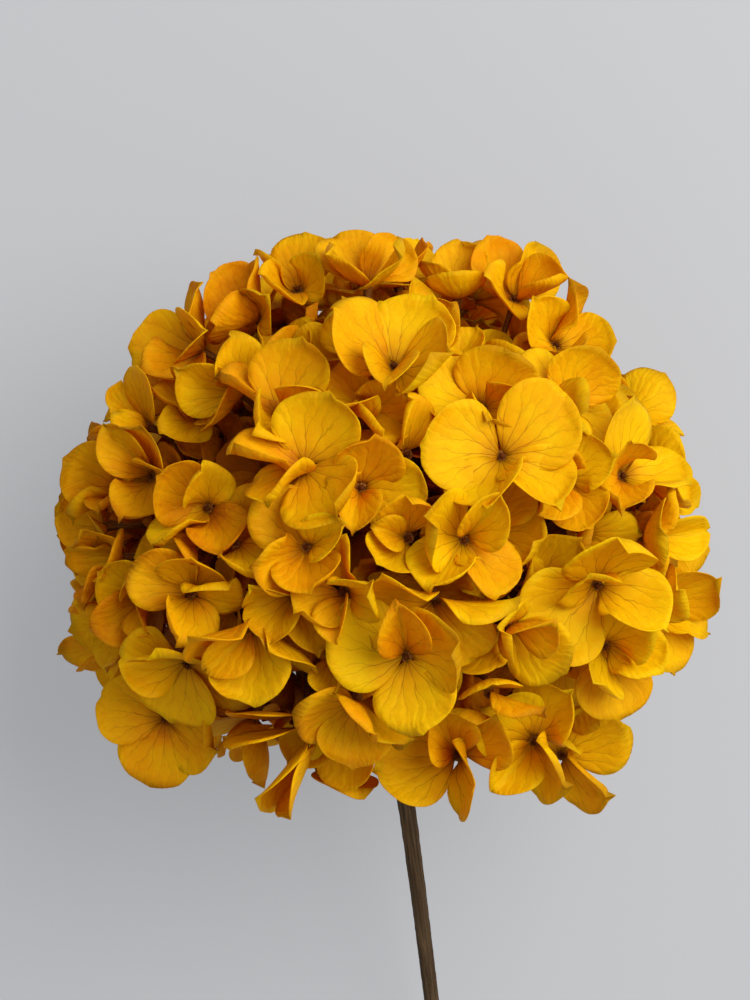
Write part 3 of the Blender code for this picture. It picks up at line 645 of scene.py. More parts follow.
def fork_cymule(florets, middle, members, placed):
    """Forks the cymule at the first height at which its pedicels clear those placed, or at the last one."""
    reach = sum((florets[one]["centre"] - CROWN_CENTRE).length for one in members) / len(members)
    for share in FORK_SHARES:
        fork = CROWN_CENTRE + share * reach * middle
        paths = [pedicel_path(fork, florets[one]) for one in members]
        trees = [tube_tree(path, PEDICEL_RADII, GAP) for path in paths]
        if not any(tree.overlap(other) for tree in trees for other in placed):
            break
    placed += [tube_tree(path, PEDICEL_RADII) for path in paths]
    return {"fork": fork, "middle": middle, "members": members, "pedicels": paths}


def plan_flower():
    """Every floret, cymule and ray of the flower, with each sepal opened into its own room."""
    rng = random.Random(SEED)
    florets = feature_florets(rng)
    florets += fill_florets(florets, rng)
    ways = [(floret["centre"] - CROWN_CENTRE).normalized() for floret in florets]
    tubes = []
    groups = clusters(ways, CYMULE_COUNT)
    cymules = [fork_cymule(florets, middle, members, tubes) for middle, members in groups]
    rays = []
    for middle, members in clusters([cymule["middle"] for cymule in cymules], RAY_COUNT):
        start = CROWN_CENTRE + (CROWN_RADIUS + GAP) * middle
        knob = CROWN_CENTRE + RAY_REACH * middle
        branches = []
        for one in members:
            way = (cymules[one]["fork"] - knob).normalized()
            branches.append([knob, cymules[one]["fork"] - (FORK_KNOB + GAP) * way])
        rays.append({"main": [start, knob], "branches": branches})
        tubes.append(tube_tree(rays[-1]["main"], RAY_RADII))
        tubes += [tube_tree(branch, BRANCH_RADII) for branch in branches]
    tubes.append(tube_tree(stem_path(), STEM_RADII))
    settle_sepals(florets, tubes)
    return florets, cymules, rays


# Settings that a user would change.


class HydrangeaSettings(bpy.types.PropertyGroup):
    sepal_thickness: bpy.props.FloatProperty(
        name="Sepal thickness", description="Thickness of a dried sepal", default=0.00022,
        min=0.0001, max=0.0006, subtype="DISTANCE", unit="LENGTH")
    sepal_wave: bpy.props.FloatProperty(
        name="Sepal wave", description="Height of the waves along a sepal's margin, in sepal lengths",
        default=0.019, min=0, max=0.15)
    eye_size: bpy.props.FloatProperty(
        name="Eye size", description="Width of the dried bud at a floret's middle", default=0.0022,
        min=0.001, max=0.006, subtype="DISTANCE", unit="LENGTH")
    petal_yellow: bpy.props.FloatVectorProperty(
        name="Petal yellow", description="Colour of the brightest sepals", size=3, subtype="COLOR",
        default=(0.92, 0.64, 0.0015), min=0, max=1)
    # Sepals lean towards this colour with their random tone and with the painted shade on the bloom's left and
    # on the under-florets.
    petal_orange: bpy.props.FloatVectorProperty(
        name="Petal orange", description="Colour of the deepest sepals", size=3, subtype="COLOR",
        default=(0.81, 0.28, 0.0005), min=0, max=1)
    # This brown is also the colour of the painted shade on the deepest sepals, besides the veins, the root and
    # the aged rims.
    vein_colour: bpy.props.FloatVectorProperty(
        name="Vein colour", description="Colour of the veins and of the sepal's root", size=3,
        subtype="COLOR", default=(0.31, 0.056, 0.002), min=0, max=1)
    stem_colour: bpy.props.FloatVectorProperty(
        name="Stem colour", description="Colour of the dried bark", size=3, subtype="COLOR",
        default=(0.060, 0.036, 0.018), min=0, max=1)
    stalk_colour: bpy.props.FloatVectorProperty(
        name="Stalk colour", description="Colour of the rays and pedicels", size=3, subtype="COLOR",
        default=(0.19, 0.070, 0.013), min=0, max=1)
    key_power: bpy.props.FloatProperty(
        name="Key light", description="Power of the soft light from the upper right", default=14.2,
        min=0, unit="POWER")
    fill_strength: bpy.props.FloatProperty(
        name="Room light", description="Strength of the even light of the room", default=0.56, min=0)
    floor_colour: bpy.props.FloatVectorProperty(
        name="Floor colour", description="Colour of the plain floor", size=3, subtype="COLOR",
        default=(0.435, 0.443, 0.458), min=0, max=1)
    backdrop_colour: bpy.props.FloatVectorProperty(
        name="Backdrop colour", description="Colour that the camera sees in the floor's shade", size=3,
        subtype="COLOR", default=(0.555, 0.565, 0.585), min=0, max=1)


# Node helpers. A value may be a constant or another node's socket.


def link(tree, value, socket):
    if isinstance(value, bpy.types.NodeSocket):
        tree.links.new(value, socket)
    else:
        socket.default_value = value


def add_node(tree, kind, settings=None, **inputs):
    """A node of that kind with those settings and named inputs."""
    node = tree.nodes.new(kind)
    for name, value in (settings or {}).items():
        setattr(node, name, value)
    for name, value in inputs.items():
        link(tree, value, node.inputs[name.replace("_", " ")])
    return node


def math_node(tree, operation, *values, clamp=False):
    node = add_node(tree, "ShaderNodeMath", {"operation": operation, "use_clamp": clamp})
    for value, socket in zip(values, node.inputs):
        link(tree, value, socket)
    return node.outputs[0]


def scaled(tree, value, factor):
    return math_node(tree, "MULTIPLY", value, factor)


def sum_of(tree, total, *values):
    for value in values:
        total = math_node(tree, "ADD", total, value)
    return total


def ramp(tree, value, low, high, start=0.0, end=1.0):
    """Smoothly maps value from low..high to start..end."""
    node = add_node(tree, "ShaderNodeMapRange", {"interpolation_type": "SMOOTHSTEP"})
    for socket, number in zip(node.inputs, (value, low, high, start, end)):
        link(tree, number, socket)
    return node.outputs[0]


def mix_colour(tree, factor, first, second, blend="MIX"):
    node = add_node(tree, "ShaderNodeMix", {"data_type": "RGBA", "blend_type": blend})
    for value, number in zip((factor, first, second), MIX_INPUTS):
        link(tree, value, node.inputs[number])
    return node.outputs[MIX_RESULT]


def mix_shaders(tree, factor, first, second):
    """Ends a material in a mix of two shaders."""
    node = add_node(tree, "ShaderNodeMixShader")
    for value, socket in zip((factor, first.outputs[0], second.outputs[0]), node.inputs):
        link(tree, value, socket)
    link(tree, node.outputs[0], tree.nodes["Material Output"].inputs["Surface"])


def noise_node(tree, vector, scale, detail, roughness=0.5):
    node = add_node(tree, "ShaderNodeTexNoise", Vector=vector, Scale=scale, Detail=detail,
                    Roughness=roughness)
    return node.outputs["Fac"]


def scaled_vector(tree, vector, scale):
    return add_node(tree, "ShaderNodeMapping", Vector=vector, Scale=scale).outputs["Vector"]


def bump_node(tree, height, strength, distance):
    node = add_node(tree, "ShaderNodeBump", Height=height, Strength=strength, Distance=distance)
    return node.outputs[0]


def attribute(tree, name, output="Fac"):
    return add_node(tree, "ShaderNodeAttribute", {"attribute_name": name}).outputs[output]


def object_coordinates(tree):
    return tree.nodes.new("ShaderNodeTexCoord").outputs["Object"]


def new_group(kind, name, inputs, outputs):
    """A node group with those named sockets, and its input and output nodes."""
    tree = bpy.data.node_groups.new(name, kind)
    for way, sockets in (("INPUT", inputs), ("OUTPUT", outputs)):
        for label, socket in sockets.items():
            tree.interface.new_socket(label, in_out=way, socket_type="NodeSocket" + socket)
    return tree, tree.nodes.new("NodeGroupInput").outputs, tree.nodes.new("NodeGroupOutput").inputs


def use_group(tree, group, **inputs):
    return add_node(tree, "ShaderNodeGroup", {"node_tree": group}, **inputs).outputs


def principled(name, **inputs):
    """A new material, its tree and its Principled BSDF with those inputs."""
    material = bpy.data.materials.new(name)
    material.use_nodes = True
    tree = material.node_tree
    shader = tree.nodes["Principled BSDF"]
    for label, value in inputs.items():
        link(tree, value, shader.inputs[label.replace("_", " ")])
    return material, tree, shader


# Materials.


def vein_group():
    """Veins that fan out from a sepal's root and fork three times, with a faint net near the margin."""
    tree, given, out = new_group("ShaderNodeTree", "sepal_veins", {"Blade": "Vector", "Width": "Float"},
                                 {"Veins": "Float", "Distance": "Float", "Crease": "Float"})
    blade = given["Blade"]
    along, across, seed = add_node(tree, "ShaderNodeSeparateXYZ", Vector=blade).outputs
    away = math_node(tree, "ADD", along, FAN_SETBACK)
    squares = [math_node(tree, "POWER", side, 2.0) for side in (away, across)]
    reach = math_node(tree, "SQRT", sum_of(tree, *squares))
    waver = noise_node(tree, scaled_vector(tree, blade, WAVER_CELLS), 1.0, 3.0)
    waver = scaled(tree, math_node(tree, "SUBTRACT", waver, 0.5), VEIN_WAVER)
    angle = sum_of(tree, math_node(tree, "ARCTAN2", across, away), waver)
    turns = sum_of(tree, math_node(tree, "DIVIDE", angle, VEIN_SPACING), seed)
    cell = add_node(tree, "ShaderNodeTexWhiteNoise", {"noise_dimensions": "1D"},
                    W=math_node(tree, "FLOOR", turns))
    late = scaled(tree, cell.outputs["Value"], VEIN_DELAY)
    local = math_node(tree, "SUBTRACT", math_node(tree, "FRACT", turns), 0.5)
    local = scaled(tree, local, VEIN_SPACING)
    for level, (low, high) in enumerate(VEIN_FORKS):
        spread = VEIN_SPACING / 4 / 2 ** level
        apart = ramp(tree, math_node(tree, "SUBTRACT", reach, late), low, high, 0.0, spread)
        local = math_node(tree, "SUBTRACT", math_node(tree, "ABSOLUTE", local), apart)
    gap = scaled(tree, math_node(tree, "ABSOLUTE", local), reach)
    line = ramp(tree, gap, 0.0, given["Width"], 1.0, 0.0)
    net = add_node(tree, "ShaderNodeTexVoronoi", {"feature": "DISTANCE_TO_EDGE"},
                   Vector=scaled_vector(tree, blade, NET_SEEDING), Scale=NET_CELLS)
    net = ramp(tree, net.outputs["Distance"], 0.0, NET_WIDTH, 1.0, 0.0)
    net = scaled(tree, net, ramp(tree, reach, *NET_FADE))
    link(tree, math_node(tree, "MAXIMUM", line, net), out["Veins"])
    link(tree, reach, out["Distance"])
    link(tree, ramp(tree, gap, 0.0, CREASE_WIDTH, 1.0, 0.0), out["Crease"])
    return tree


def mottle_group():
    """Slow blotches and fine grain in the object's own space, both from 0 to 1."""
    tree, given, out = new_group(
        "ShaderNodeTree", "dried_mottle", {"Vector": "Vector", "Blotch Size": "Float", "Grain Size": "Float"},
        {"Blotches": "Float", "Grain": "Float"})
    for label, size, detail in (("Blotches", "Blotch Size", 3.0), ("Grain", "Grain Size", 5.0)):
        speck = noise_node(tree, given["Vector"], math_node(tree, "DIVIDE", 1.0, given[size]), detail)
        link(tree, ramp(tree, speck, *MOTTLE_RANGE), out[label])
    return tree


def petal_material(settings, veins, mottle):
    """Thin papery sepals, yellow to orange, with brown veins, a stained root and an aged rim, and painted
    shade that deepens the under-florets and the bloom's left towards orange and brown.
    """
    material, tree, shader = principled(
        "papery_sepal", Roughness=PETAL_ROUGHNESS, Specular_IOR_Level=PETAL_SPECULAR)
    blade = attribute(tree, "blade", "Vector")
    lines = use_group(tree, veins, Blade=blade, Width=VEIN_WIDTH)
    mottled = use_group(tree, mottle, Vector=object_coordinates(tree), Blotch_Size=PETAL_BLOTCH,
                        Grain_Size=PETAL_GRAIN)
    yellow, orange, dark = (
        (*colour, 1) for colour in (settings.petal_yellow, settings.petal_orange, settings.vein_colour))
    distance = lines["Distance"]
    # Colour depth: the sepal's random tone, blotches, grain and orange root, plus the painted shade of its
    # floret on the bloom's left and in the under-florets.
    shade = sum_of(tree, attribute(tree, "tint"), scaled(tree, mottled["Blotches"], BLOTCH_WEIGHT),
                   scaled(tree, mottled["Grain"], GRAIN_WEIGHT), ramp(tree, distance, *ROOT_SHADE))
    rim = scaled(tree, ramp(tree, distance, *RIM_FADE), attribute(tree, "age"))
    colour = mix_colour(tree, math_node(tree, "SUBTRACT", shade, YELLOW_LEVEL, clamp=True), yellow, orange)
    veined = scaled(tree, lines["Veins"], ramp(tree, distance, *VEIN_FADE))
    # Mixes towards the vein brown: first painted shade on the deepest sepals, then the root stain, the veins
    # and the aged rim, which are the sepal's own.
    for stain_and_shade in (ramp(tree, shade, *DEEP_PAINTED_SHADE), ramp(tree, distance, *ROOT_STAIN), veined,
                  scaled(tree, rim, RIM_WEIGHT)):
        colour = mix_colour(tree, stain_and_shade, colour, dark)
    wrinkle = noise_node(tree, scaled_vector(tree, blade, WRINKLE_CELLS), 1.0, 4.0, 0.55)
    relief = sum_of(tree, scaled(tree, lines["Crease"], CREASE_DEPTH), scaled(tree, wrinkle, WRINKLE_DEPTH))
    normal = bump_node(tree, relief, *PETAL_BUMP)
    link(tree, colour, shader.inputs["Base Color"])
    link(tree, normal, shader.inputs["Normal"])
    glow = mix_colour(tree, 1.0, colour, THIN_TINT, "MULTIPLY")
    thin = add_node(tree, "ShaderNodeBsdfTranslucent", Color=glow, Normal=normal)
    mix_shaders(tree, THIN_SHARE, shader, thin)
    return material


def dry_material(name, colour, mottle, streak, roughness):
    """Dried stalk or bark: streaks along the piece's own length, blotches, and fine grain."""
    material, tree, shader = principled(name, Specular_IOR_Level=DRY_SPECULAR)
    mottled = use_group(tree, mottle, Vector=object_coordinates(tree), Grain_Size=DRY_GRAIN,
                        Blotch_Size=streak * BLOTCH_PER_STREAK)
    along = attribute(tree, "along", "Vector")
    streaks = noise_node(tree, scaled_vector(tree, along, STREAK_CELLS), 1.0, 4.0, 0.6)
    light = (*(min(1.0, LIGHT_STREAK * part) for part in colour), 1)
    deep = (*(DEEP_STREAK * part for part in colour), 1)
    shade = mix_colour(tree, ramp(tree, streaks, *STREAK_RANGE), deep, light)
    shade = mix_colour(tree, scaled(tree, mottled["Blotches"], DRY_BLOTCHES), shade, (*colour, 1))
    smooth, rough = (roughness + change for change in ROUGHNESS_CHANGE)
    relief = sum_of(tree, streaks, scaled(tree, mottled["Grain"], DRY_GRAIN_DEPTH))
    link(tree, shade, shader.inputs["Base Color"])
    link(tree, ramp(tree, mottled["Grain"], 0.0, 1.0, smooth, rough), shader.inputs["Roughness"])
    link(tree, bump_node(tree, relief, *DRY_BUMP), shader.inputs["Normal"])
    return material


# Geometry Nodes trees.


def geometry_group(name, inputs):
    """A tree that turns geometry into geometry, with those inputs besides."""
    return new_group("GeometryNodeTree", name, {"Geometry": "Geometry", **inputs}, {"Geometry": "Geometry"})


def named(tree, name, kind):
    node = add_node(tree, "GeometryNodeInputNamedAttribute", {"data_type": kind}, Name=name)
    return node.outputs["Attribute"]


def finish_group(tree, geometry, given, out):
    """Ends a tree in Realize Instances, smooth shading and Set Material."""
    realized = add_node(tree, "GeometryNodeRealizeInstances", Geometry=geometry)
    smooth = add_node(tree, "GeometryNodeSetShadeSmooth", Geometry=realized.outputs["Geometry"])
    painted = add_node(tree, "GeometryNodeSetMaterial", Geometry=smooth.outputs["Geometry"],
                       Material=given["Material"])
    link(tree, painted.outputs["Geometry"], out["Geometry"])


def scatter_group():
    """Sets a collection's pieces on the points, each turned, stretched and picked by the point's values."""
    tree, given, out = geometry_group("set_on_points", {"Pieces": "Collection", "Material": "Material"})
    pieces = add_node(tree, "GeometryNodeCollectionInfo", Collection=given["Pieces"],
                      Separate_Children=True, Reset_Children=True)
    turned = add_node(tree, "FunctionNodeEulerToRotation", Euler=named(tree, "turned", "FLOAT_VECTOR"))
    scatter = add_node(tree, "GeometryNodeInstanceOnPoints", Points=given["Geometry"],
                       Instance=pieces.outputs[0], Pick_Instance=True,
                       Instance_Index=named(tree, "picked", "INT"), Rotation=turned.outputs[0],
                       Scale=named(tree, "stretched", "FLOAT_VECTOR"))
    finish_group(tree, scatter.outputs["Instances"], given, out)
    return tree


def kept_measure(tree, curve, measure):
    """The curve with each point's Length or Factor along it kept, and that kept value."""
    keep = tree.nodes.new("GeometryNodeCaptureAttribute")
    keep.capture_items.new("FLOAT", measure)
    place = tree.nodes.new("GeometryNodeSplineParameter")
    link(tree, curve, keep.inputs[0])
    link(tree, place.outputs[measure], keep.inputs[1])
    return keep.outputs[0], keep.outputs[1]


def sweep_group():
    """Sweeps a round section along the splines, with uneven bark, and keeps the place along and around."""
    tree, given, out = geometry_group(
        "swept_stalk", {"Step": "Float", "Sides": "Int", "Relief": "Float", "Relief Size": "Float",
                        "Seed": "Float", "Material": "Material"})
    fine = add_node(tree, "GeometryNodeResampleCurve", {"mode": "LENGTH"},
                    Curve=given["Geometry"], Length=given["Step"])
    guide, length = kept_measure(tree, fine.outputs["Curve"], "Length")
    ring = add_node(tree, "GeometryNodeCurvePrimitiveCircle", Radius=1, Resolution=given["Sides"])
    ring, turn = kept_measure(tree, ring.outputs["Curve"], "Factor")
    skin = add_node(tree, "GeometryNodeCurveToMesh", Curve=guide, Profile_Curve=ring, Fill_Caps=True,
                    Scale=tree.nodes.new("GeometryNodeInputRadius").outputs[0])
    angle = scaled(tree, turn, math.tau)
    over, beside = (scaled(tree, math_node(tree, work, angle), BARK_ROUND) for work in ("COSINE", "SINE"))
    along = add_node(tree, "ShaderNodeCombineXYZ", X=length, Y=over, Z=beside)
    store = add_node(tree, "GeometryNodeStoreNamedAttribute", {"data_type": "FLOAT_VECTOR"},
                     Name="along", Geometry=skin.outputs["Mesh"], Value=along.outputs[0])
    rough = add_node(tree, "ShaderNodeTexNoise", {"noise_dimensions": "4D"}, W=given["Seed"],
                     Vector=tree.nodes.new("GeometryNodeInputPosition").outputs[0],
                     Scale=math_node(tree, "DIVIDE", 1.0, given["Relief Size"]))
    lift = scaled(tree, math_node(tree, "SUBTRACT", rough.outputs["Fac"], 0.5), given["Relief"])
    offset = add_node(tree, "ShaderNodeVectorMath", {"operation": "SCALE"}, Scale=lift,
                      Vector=tree.nodes.new("GeometryNodeInputNormal").outputs[0])
    shift = add_node(tree, "GeometryNodeSetPosition", Geometry=store.outputs["Geometry"],
                     Offset=offset.outputs[0])
    finish_group(tree, shift.outputs["Geometry"], given, out)
    return tree


def apply_nodes(thing, group, name, **values):
    """Runs the tree on the object and returns its result as a plain mesh object of that name."""
    modifier = thing.modifiers.new("nodes", "NODES")
    modifier.node_group = group
    for item in group.interface.items_tree:
        key = item.name.replace(" ", "_")
        if item.in_out == "INPUT" and key in values:
            modifier[item.identifier] = values[key]
    graph = bpy.context.evaluated_depsgraph_get()
    mesh = bpy.data.meshes.new_from_object(thing.evaluated_get(graph))
    mesh.name = name
    bpy.data.objects.remove(thing)
    return add_object(name, mesh)


def add_object(name, data, collection=None):
    """An object of that data in the collection, or in the scene's own."""
    made = bpy.data.objects.new(name, data)
    (collection or bpy.context.scene.collection).objects.link(made)
    return made


# Sepals.


def width_at(share, roundness, claw):
    """A sepal's half width, from 0 to 1, at that share of its length: nearly round, with a narrow root."""
    chord = math.sqrt(max(0.0, 1 - (2 * share - 1) ** 2))
    return chord ** roundness * (1 - (1 - share) ** ROOT_POWER) ** claw


def centre_line(turn, arch):
    """Points of a sepal's midrib, one long, bending by turn towards the front, with a slight arch."""
    line = [(0.0, 0.0, 0.0)]
    for step in range(MIDRIB_STEPS):
        share = (step + 0.5) / MIDRIB_STEPS
        ease = share * share * (3 - 2 * share)
        tilt = turn * TURN_GAIN * ease + arch * (0.5 - share)
        x, z, _ = line[-1]
        line.append((x + math.cos(tilt) / MIDRIB_STEPS, z + math.sin(tilt) / MIDRIB_STEPS, tilt))
    return line


def line_point(line, share):
    place = max(0.0, min(1.0, share)) * (len(line) - 1)
    low = min(int(place), len(line) - 2)
    part = place - low
    return [a + (b - a) * part for a, b in zip(line[low], line[low + 1])]


def sepal_shape(form, wave, rng):
    """One unit sepal's own outline, curl and waves."""
    fold, turn, twist = (math.radians(value) for value in FORMS[form])
    folded = form in POINTED_FORMS
    reflexed = form == "r"
    shape = SimpleNamespace(fold=fold, twist=twist, ridge=POINTED_FOLD_RADIUS if folded else FOLD_RADIUS)
    shape.roundness = rng.uniform(*(POINTED_ROUNDNESS if folded else ROUNDNESS))
    shape.claw = rng.uniform(*CLAW)
    shape.midrib = centre_line(turn + rng.uniform(*TURN_CHANGE), rng.uniform(*ARCH))
    shape.cup = rng.uniform(*CUP) * (FOLDED_CUP if folded else 1)
    if reflexed:
        shape.cup = -rng.uniform(*REFLEXED_CUP)
    shape.wave = wave * rng.uniform(*WAVE_SHARE) * (REFLEXED_WAVE if reflexed else 1)
    shape.waves = [(rng.randint(*LONG_WAVES), rng.uniform(0, math.tau), 1.0),
                   (rng.randint(*SHORT_WAVES), rng.uniform(0, math.tau), 0.5)]
    shape.curls = [rng.choice(CURLS) * rng.uniform(0.5, 1) for _ in range(2)]
    shape.tip_curl = rng.uniform(*TIP_CURL)
    shape.notch = rng.choice(NOTCHES)
    shape.lobes = [(count, rng.uniform(0, math.tau), rng.uniform(*LOBE_SIZE)) for count in LOBES]
    shape.offset = Vector([rng.uniform(0, SEED_SPAN) for _ in range(3)])
    shape.skew = rng.uniform(*SKEW)
    return shape


def blade_point(shape, a, b):
    """Where a corner of the square grid from -1 to 1 lands, and its place along and across the blade."""
    p, q = a * math.sqrt(1 - b * b / 2), b * math.sqrt(1 - a * a / 2)
    radius, bearing = math.hypot(p, q), math.atan2(q, p)
    share = (1 + p) / 2
    chord = math.sqrt(max(1e-9, 1 - p * p))
    side = max(-1.0, min(1.0, q / chord))
    lobed = sum(size * math.sin(count * bearing + phase) for count, phase, size in shape.lobes)
    edge = 1 + radius ** 2 * share * lobed
    half = 0.5 * width_at(share, shape.roundness, shape.claw) * edge
    half = max(half, ROOT_SHARE * (1 - share) ** ROOT_POWER)
    reach = share * edge + shape.notch * math.exp(-(side / NOTCH_WIDTH) ** 2) * share ** 8
    y = side * half
    x, z, tilt = line_point(shape.midrib, reach)
    x += max(0.0, reach - 1) * math.cos(tilt)
    angle = shape.fold * (1 - FOLD_EASE * share)
    soft = math.sqrt(y * y + shape.ridge * shape.ridge) - shape.ridge
    lift = soft * math.sin(angle) + shape.cup * y * y
    lift += shape.wave * radius ** 3 * share * sum(s * math.sin(n * bearing + f) for n, f, s in shape.waves)
    lift += shape.curls[side > 0] * abs(side) ** 3 * radius ** 4 * share
    lift += shape.tip_curl * share ** 5 * (1 - side * side)
    crumple = Vector((reach * CRUMPLE_CELLS[0], y * CRUMPLE_CELLS[1], 0)) + shape.offset
    lift += CRUMPLE * noise.noise(crumple) * share
    across = y * math.cos(angle) + shape.skew * reach * reach
    turned = shape.twist * min(1.0, reach / TWIST_REACH)
    over = across * math.cos(turned) - lift * math.sin(turned)
    lift = across * math.sin(turned) + lift * math.cos(turned)
    return (x - math.sin(tilt) * lift, over, z + math.cos(tilt) * lift), (reach, y, shape.offset.z)


def sepal_blade(name, shape, cells, thickness, collection):
    """One sepal of unit length and width, from a square grid drawn round into the sepal's outline."""
    grid = bmesh.new()
    bmesh.ops.create_grid(grid, x_segments=cells, y_segments=cells, size=1)
    blade_layer = grid.verts.layers.float_vector.new("blade")
    for vert in grid.verts:
        vert.co, vert[blade_layer] = blade_point(shape, vert.co.x, vert.co.y)
    made = add_object(name, to_mesh(name, grid), collection)
    shell = made.modifiers.new("thickness", "SOLIDIFY")
    shell.thickness = thickness / BLADE_LENGTH
    shell.offset = 0


def to_mesh(name, shape):
    mesh = bpy.data.meshes.new(name)
    shape.to_mesh(mesh)
    shape.free()
    return mesh


def unit_collection(name):
    collection = bpy.data.collections.new(name)
    bpy.context.scene.collection.children.link(collection)
    return collection


def sepal_blades(settings):
    """The collection of unit sepals, and each form's own numbers in it, for large and for small florets."""
    collection = unit_collection("unit_sepals")
    rng = random.Random(BLADE_SEED)
    picks = {}
    number = 0
    for cells in (BLADE_CELLS, UNDER_CELLS):
        for form, count in BLADE_KINDS.items():
            picks[cells, form] = range(number, number + count)
            for number in picks[cells, form]:
                shape = sepal_shape(form, settings.sepal_wave, rng)
                sepal_blade(f"unit_sepal_{number:02d}", shape, cells, settings.sepal_thickness, collection)
            number += 1
    return collection, picks


def eye_bud(number, rng, collection):
    """A dried bud a unit wide: a lobed bead with shrunken stamens round it."""
    bud = bmesh.new()
    bmesh.ops.create_icosphere(bud, subdivisions=2, radius=BEAD_RADIUS)
    lobes = rng.choice(BEAD_LOBES)
    for vert in bud.verts:
        turn = math.atan2(vert.co.y, vert.co.x)
        rough = noise.noise(vert.co * BEAD_CELLS + Vector((number, 0, 0)))
        swell = 1 + BEAD_LOBE * math.cos(lobes * turn) + BEAD_ROUGHNESS * rough
        vert.co = Vector((vert.co.x * swell, vert.co.y * swell, vert.co.z * BEAD_HEIGHT + BEAD_LIFT))
    for index in range(rng.randint(*STAMEN_COUNT)):
        turn = math.tau * index / STAMEN_PLACES + rng.uniform(*STAMEN_STRAY)
        lean = rng.uniform(*STAMEN_LEAN)
        length = rng.uniform(*STAMEN_LENGTH)
        aim = Matrix.Rotation(turn, 4, "Z") @ Matrix.Rotation(lean, 4, "Y")
        spike = aim @ Matrix.Translation((0, 0, length / 2 + STAMEN_START))
        foot, neck = STAMEN_RADII
        bmesh.ops.create_cone(bud, cap_ends=True, segments=5, radius1=foot, radius2=neck, depth=length,
                              matrix=spike)
        head = spike @ Matrix.Translation((0, 0, length / 2))
        bmesh.ops.create_icosphere(bud, subdivisions=1, radius=ANTHER_RADIUS, matrix=head)
    name = f"unit_eye_{number:02d}"
    add_object(name, to_mesh(name, bud), collection)


def eye_buds():
    collection = unit_collection("unit_eyes")
    rng = random.Random(EYE_SEED)
    for number in range(EYE_KINDS):
        eye_bud(number, rng, collection)
    return collection


def points_object(name, rows):
    """Loose points that carry the turn, stretch, pick, tone with painted shade, and age of the piece that each
    will hold.
    """
    mesh = bpy.data.meshes.new(name)
    mesh.from_pydata([row["place"] for row in rows], [], [])
    for key, kind, field in POINT_VALUES:
        layer = mesh.attributes.new(key, kind, "POINT")
        for item, row in zip(layer.data, rows):
            setattr(item, field, row[key])
    return add_object(name, mesh)


def painted_floret_shade(floret):
    """Painted shade on a floret's sepals: most on the under-florets, which lie in the head's shade, and more
    on the bloom's left, away from the key light, than on its right.
    """
    left = (HEAD_CENTRE.x - floret["centre"].x) / HEAD_HALF_WIDTH
    return SIDE_PAINTED_SHADE * left + (UNDER_PAINTED_SHADE if "cells" in floret else 0)


def sepal_row(floret, sepal, picks, rng):
    root, along, across, front = blade_axes(floret, sepal)
    roll = Matrix.Rotation(rng.uniform(*SEPAL_ROLL), 3, "X")
    turn = Matrix((along, across, front)).transposed() @ roll
    length, width = sepal["length"], sepal["width"]
    return {
        "place": root - SEPAL_TUCK * along,
        "turned": turn.to_euler(),
        "stretched": (length + SEPAL_TUCK, width * SEPAL_SPREAD, (length + width) / 2),
        "picked": rng.choice(picks[floret.get("cells", BLADE_CELLS), sepal["form"]]),
        # The sepal's random tone plus its floret's painted shade.
        "tint": rng.triangular(*TINT_RANGE) + painted_floret_shade(floret),
        "age": rng.random() ** 2,
    }


def eye_row(floret, size, rng):
    turn = Matrix((floret["side"], floret["top"], floret["axis"])).transposed()
    spin = Matrix.Rotation(rng.uniform(0, math.tau), 3, "Z")
    return {
        "place": floret["centre"],
        "turned": (turn @ spin).to_euler(),
        "stretched": [size * rng.uniform(*EYE_SPREAD)] * 3,
        "picked": rng.randrange(EYE_KINDS),
        "tint": rng.random(),
        "age": rng.random(),
    }


def under_florets(florets, cymules, rays):
    """Small florets on short pedicels in the room that is left between and below the main ones."""
    rng = random.Random(UNDER_SEED)
    golden = math.degrees(math.pi * (3 - math.sqrt(5)))
    placed = [(floret["centre"], sepal["length"], blade_tree(floret, sepal, 0)[0])
              for floret in florets for sepal in floret["sepals"]]
    tubes = [tube_tree(path, PEDICEL_RADII) for cymule in cymules for path in cymule["pedicels"]]
    tubes += [tube_tree(branch, BRANCH_RADII) for ray in rays for branch in ray["branches"]]
    found = []
    for index in range(UNDER_POINTS):
        latitude = math.degrees(math.asin(1 - (2 * index + 1) / UNDER_POINTS))
        azimuth = (index * golden + UNDER_START) % 360
        rise = rng.uniform(*UNDER_RISE)
        lean = Vector([rng.uniform(-UNDER_LEAN, UNDER_LEAN) for _ in range(3)])
        length = rng.uniform(*UNDER_LENGTH)
        spin = rng.uniform(0, 90)
        centre, outward = on_head(azimuth, latitude, rise)
        sepals = [new_sepal(spin + 90 * quarter + rng.uniform(-SPIN_JITTER, SPIN_JITTER),
                            rng.uniform(*UNDER_OPENING), rng.choice(UNDER_FORMS), length, rng)
                  for quarter in range(4)]
        if min((centre - other["centre"]).length for other in florets + found) < UNDER_SPACING:
            continue
        floret = new_floret(centre, (outward + lean).normalized(), sepals) | {"cells": UNDER_CELLS}
        kept = []
        own = []
        for sepal in sepals:
            if find_room(floret, sepal, own, placed, tubes):
                kept.append(sepal)
                own.append(blade_tree(floret, sepal, 0, rooted=False)[0])
        if len(kept) < UNDER_SEPALS:
            continue
        floret["sepals"] = kept
        placed += [(centre, sepal["length"], blade_tree(floret, sepal, 0)[0]) for sepal in kept]
        found.append(floret)
    for floret in found:
        way = (floret["centre"] - CROWN_CENTRE).normalized()
        home = max(cymules, key=lambda cymule: way.dot(cymule["middle"]))
        home["under"] = home.get("under", []) + [floret]


# Stalks.


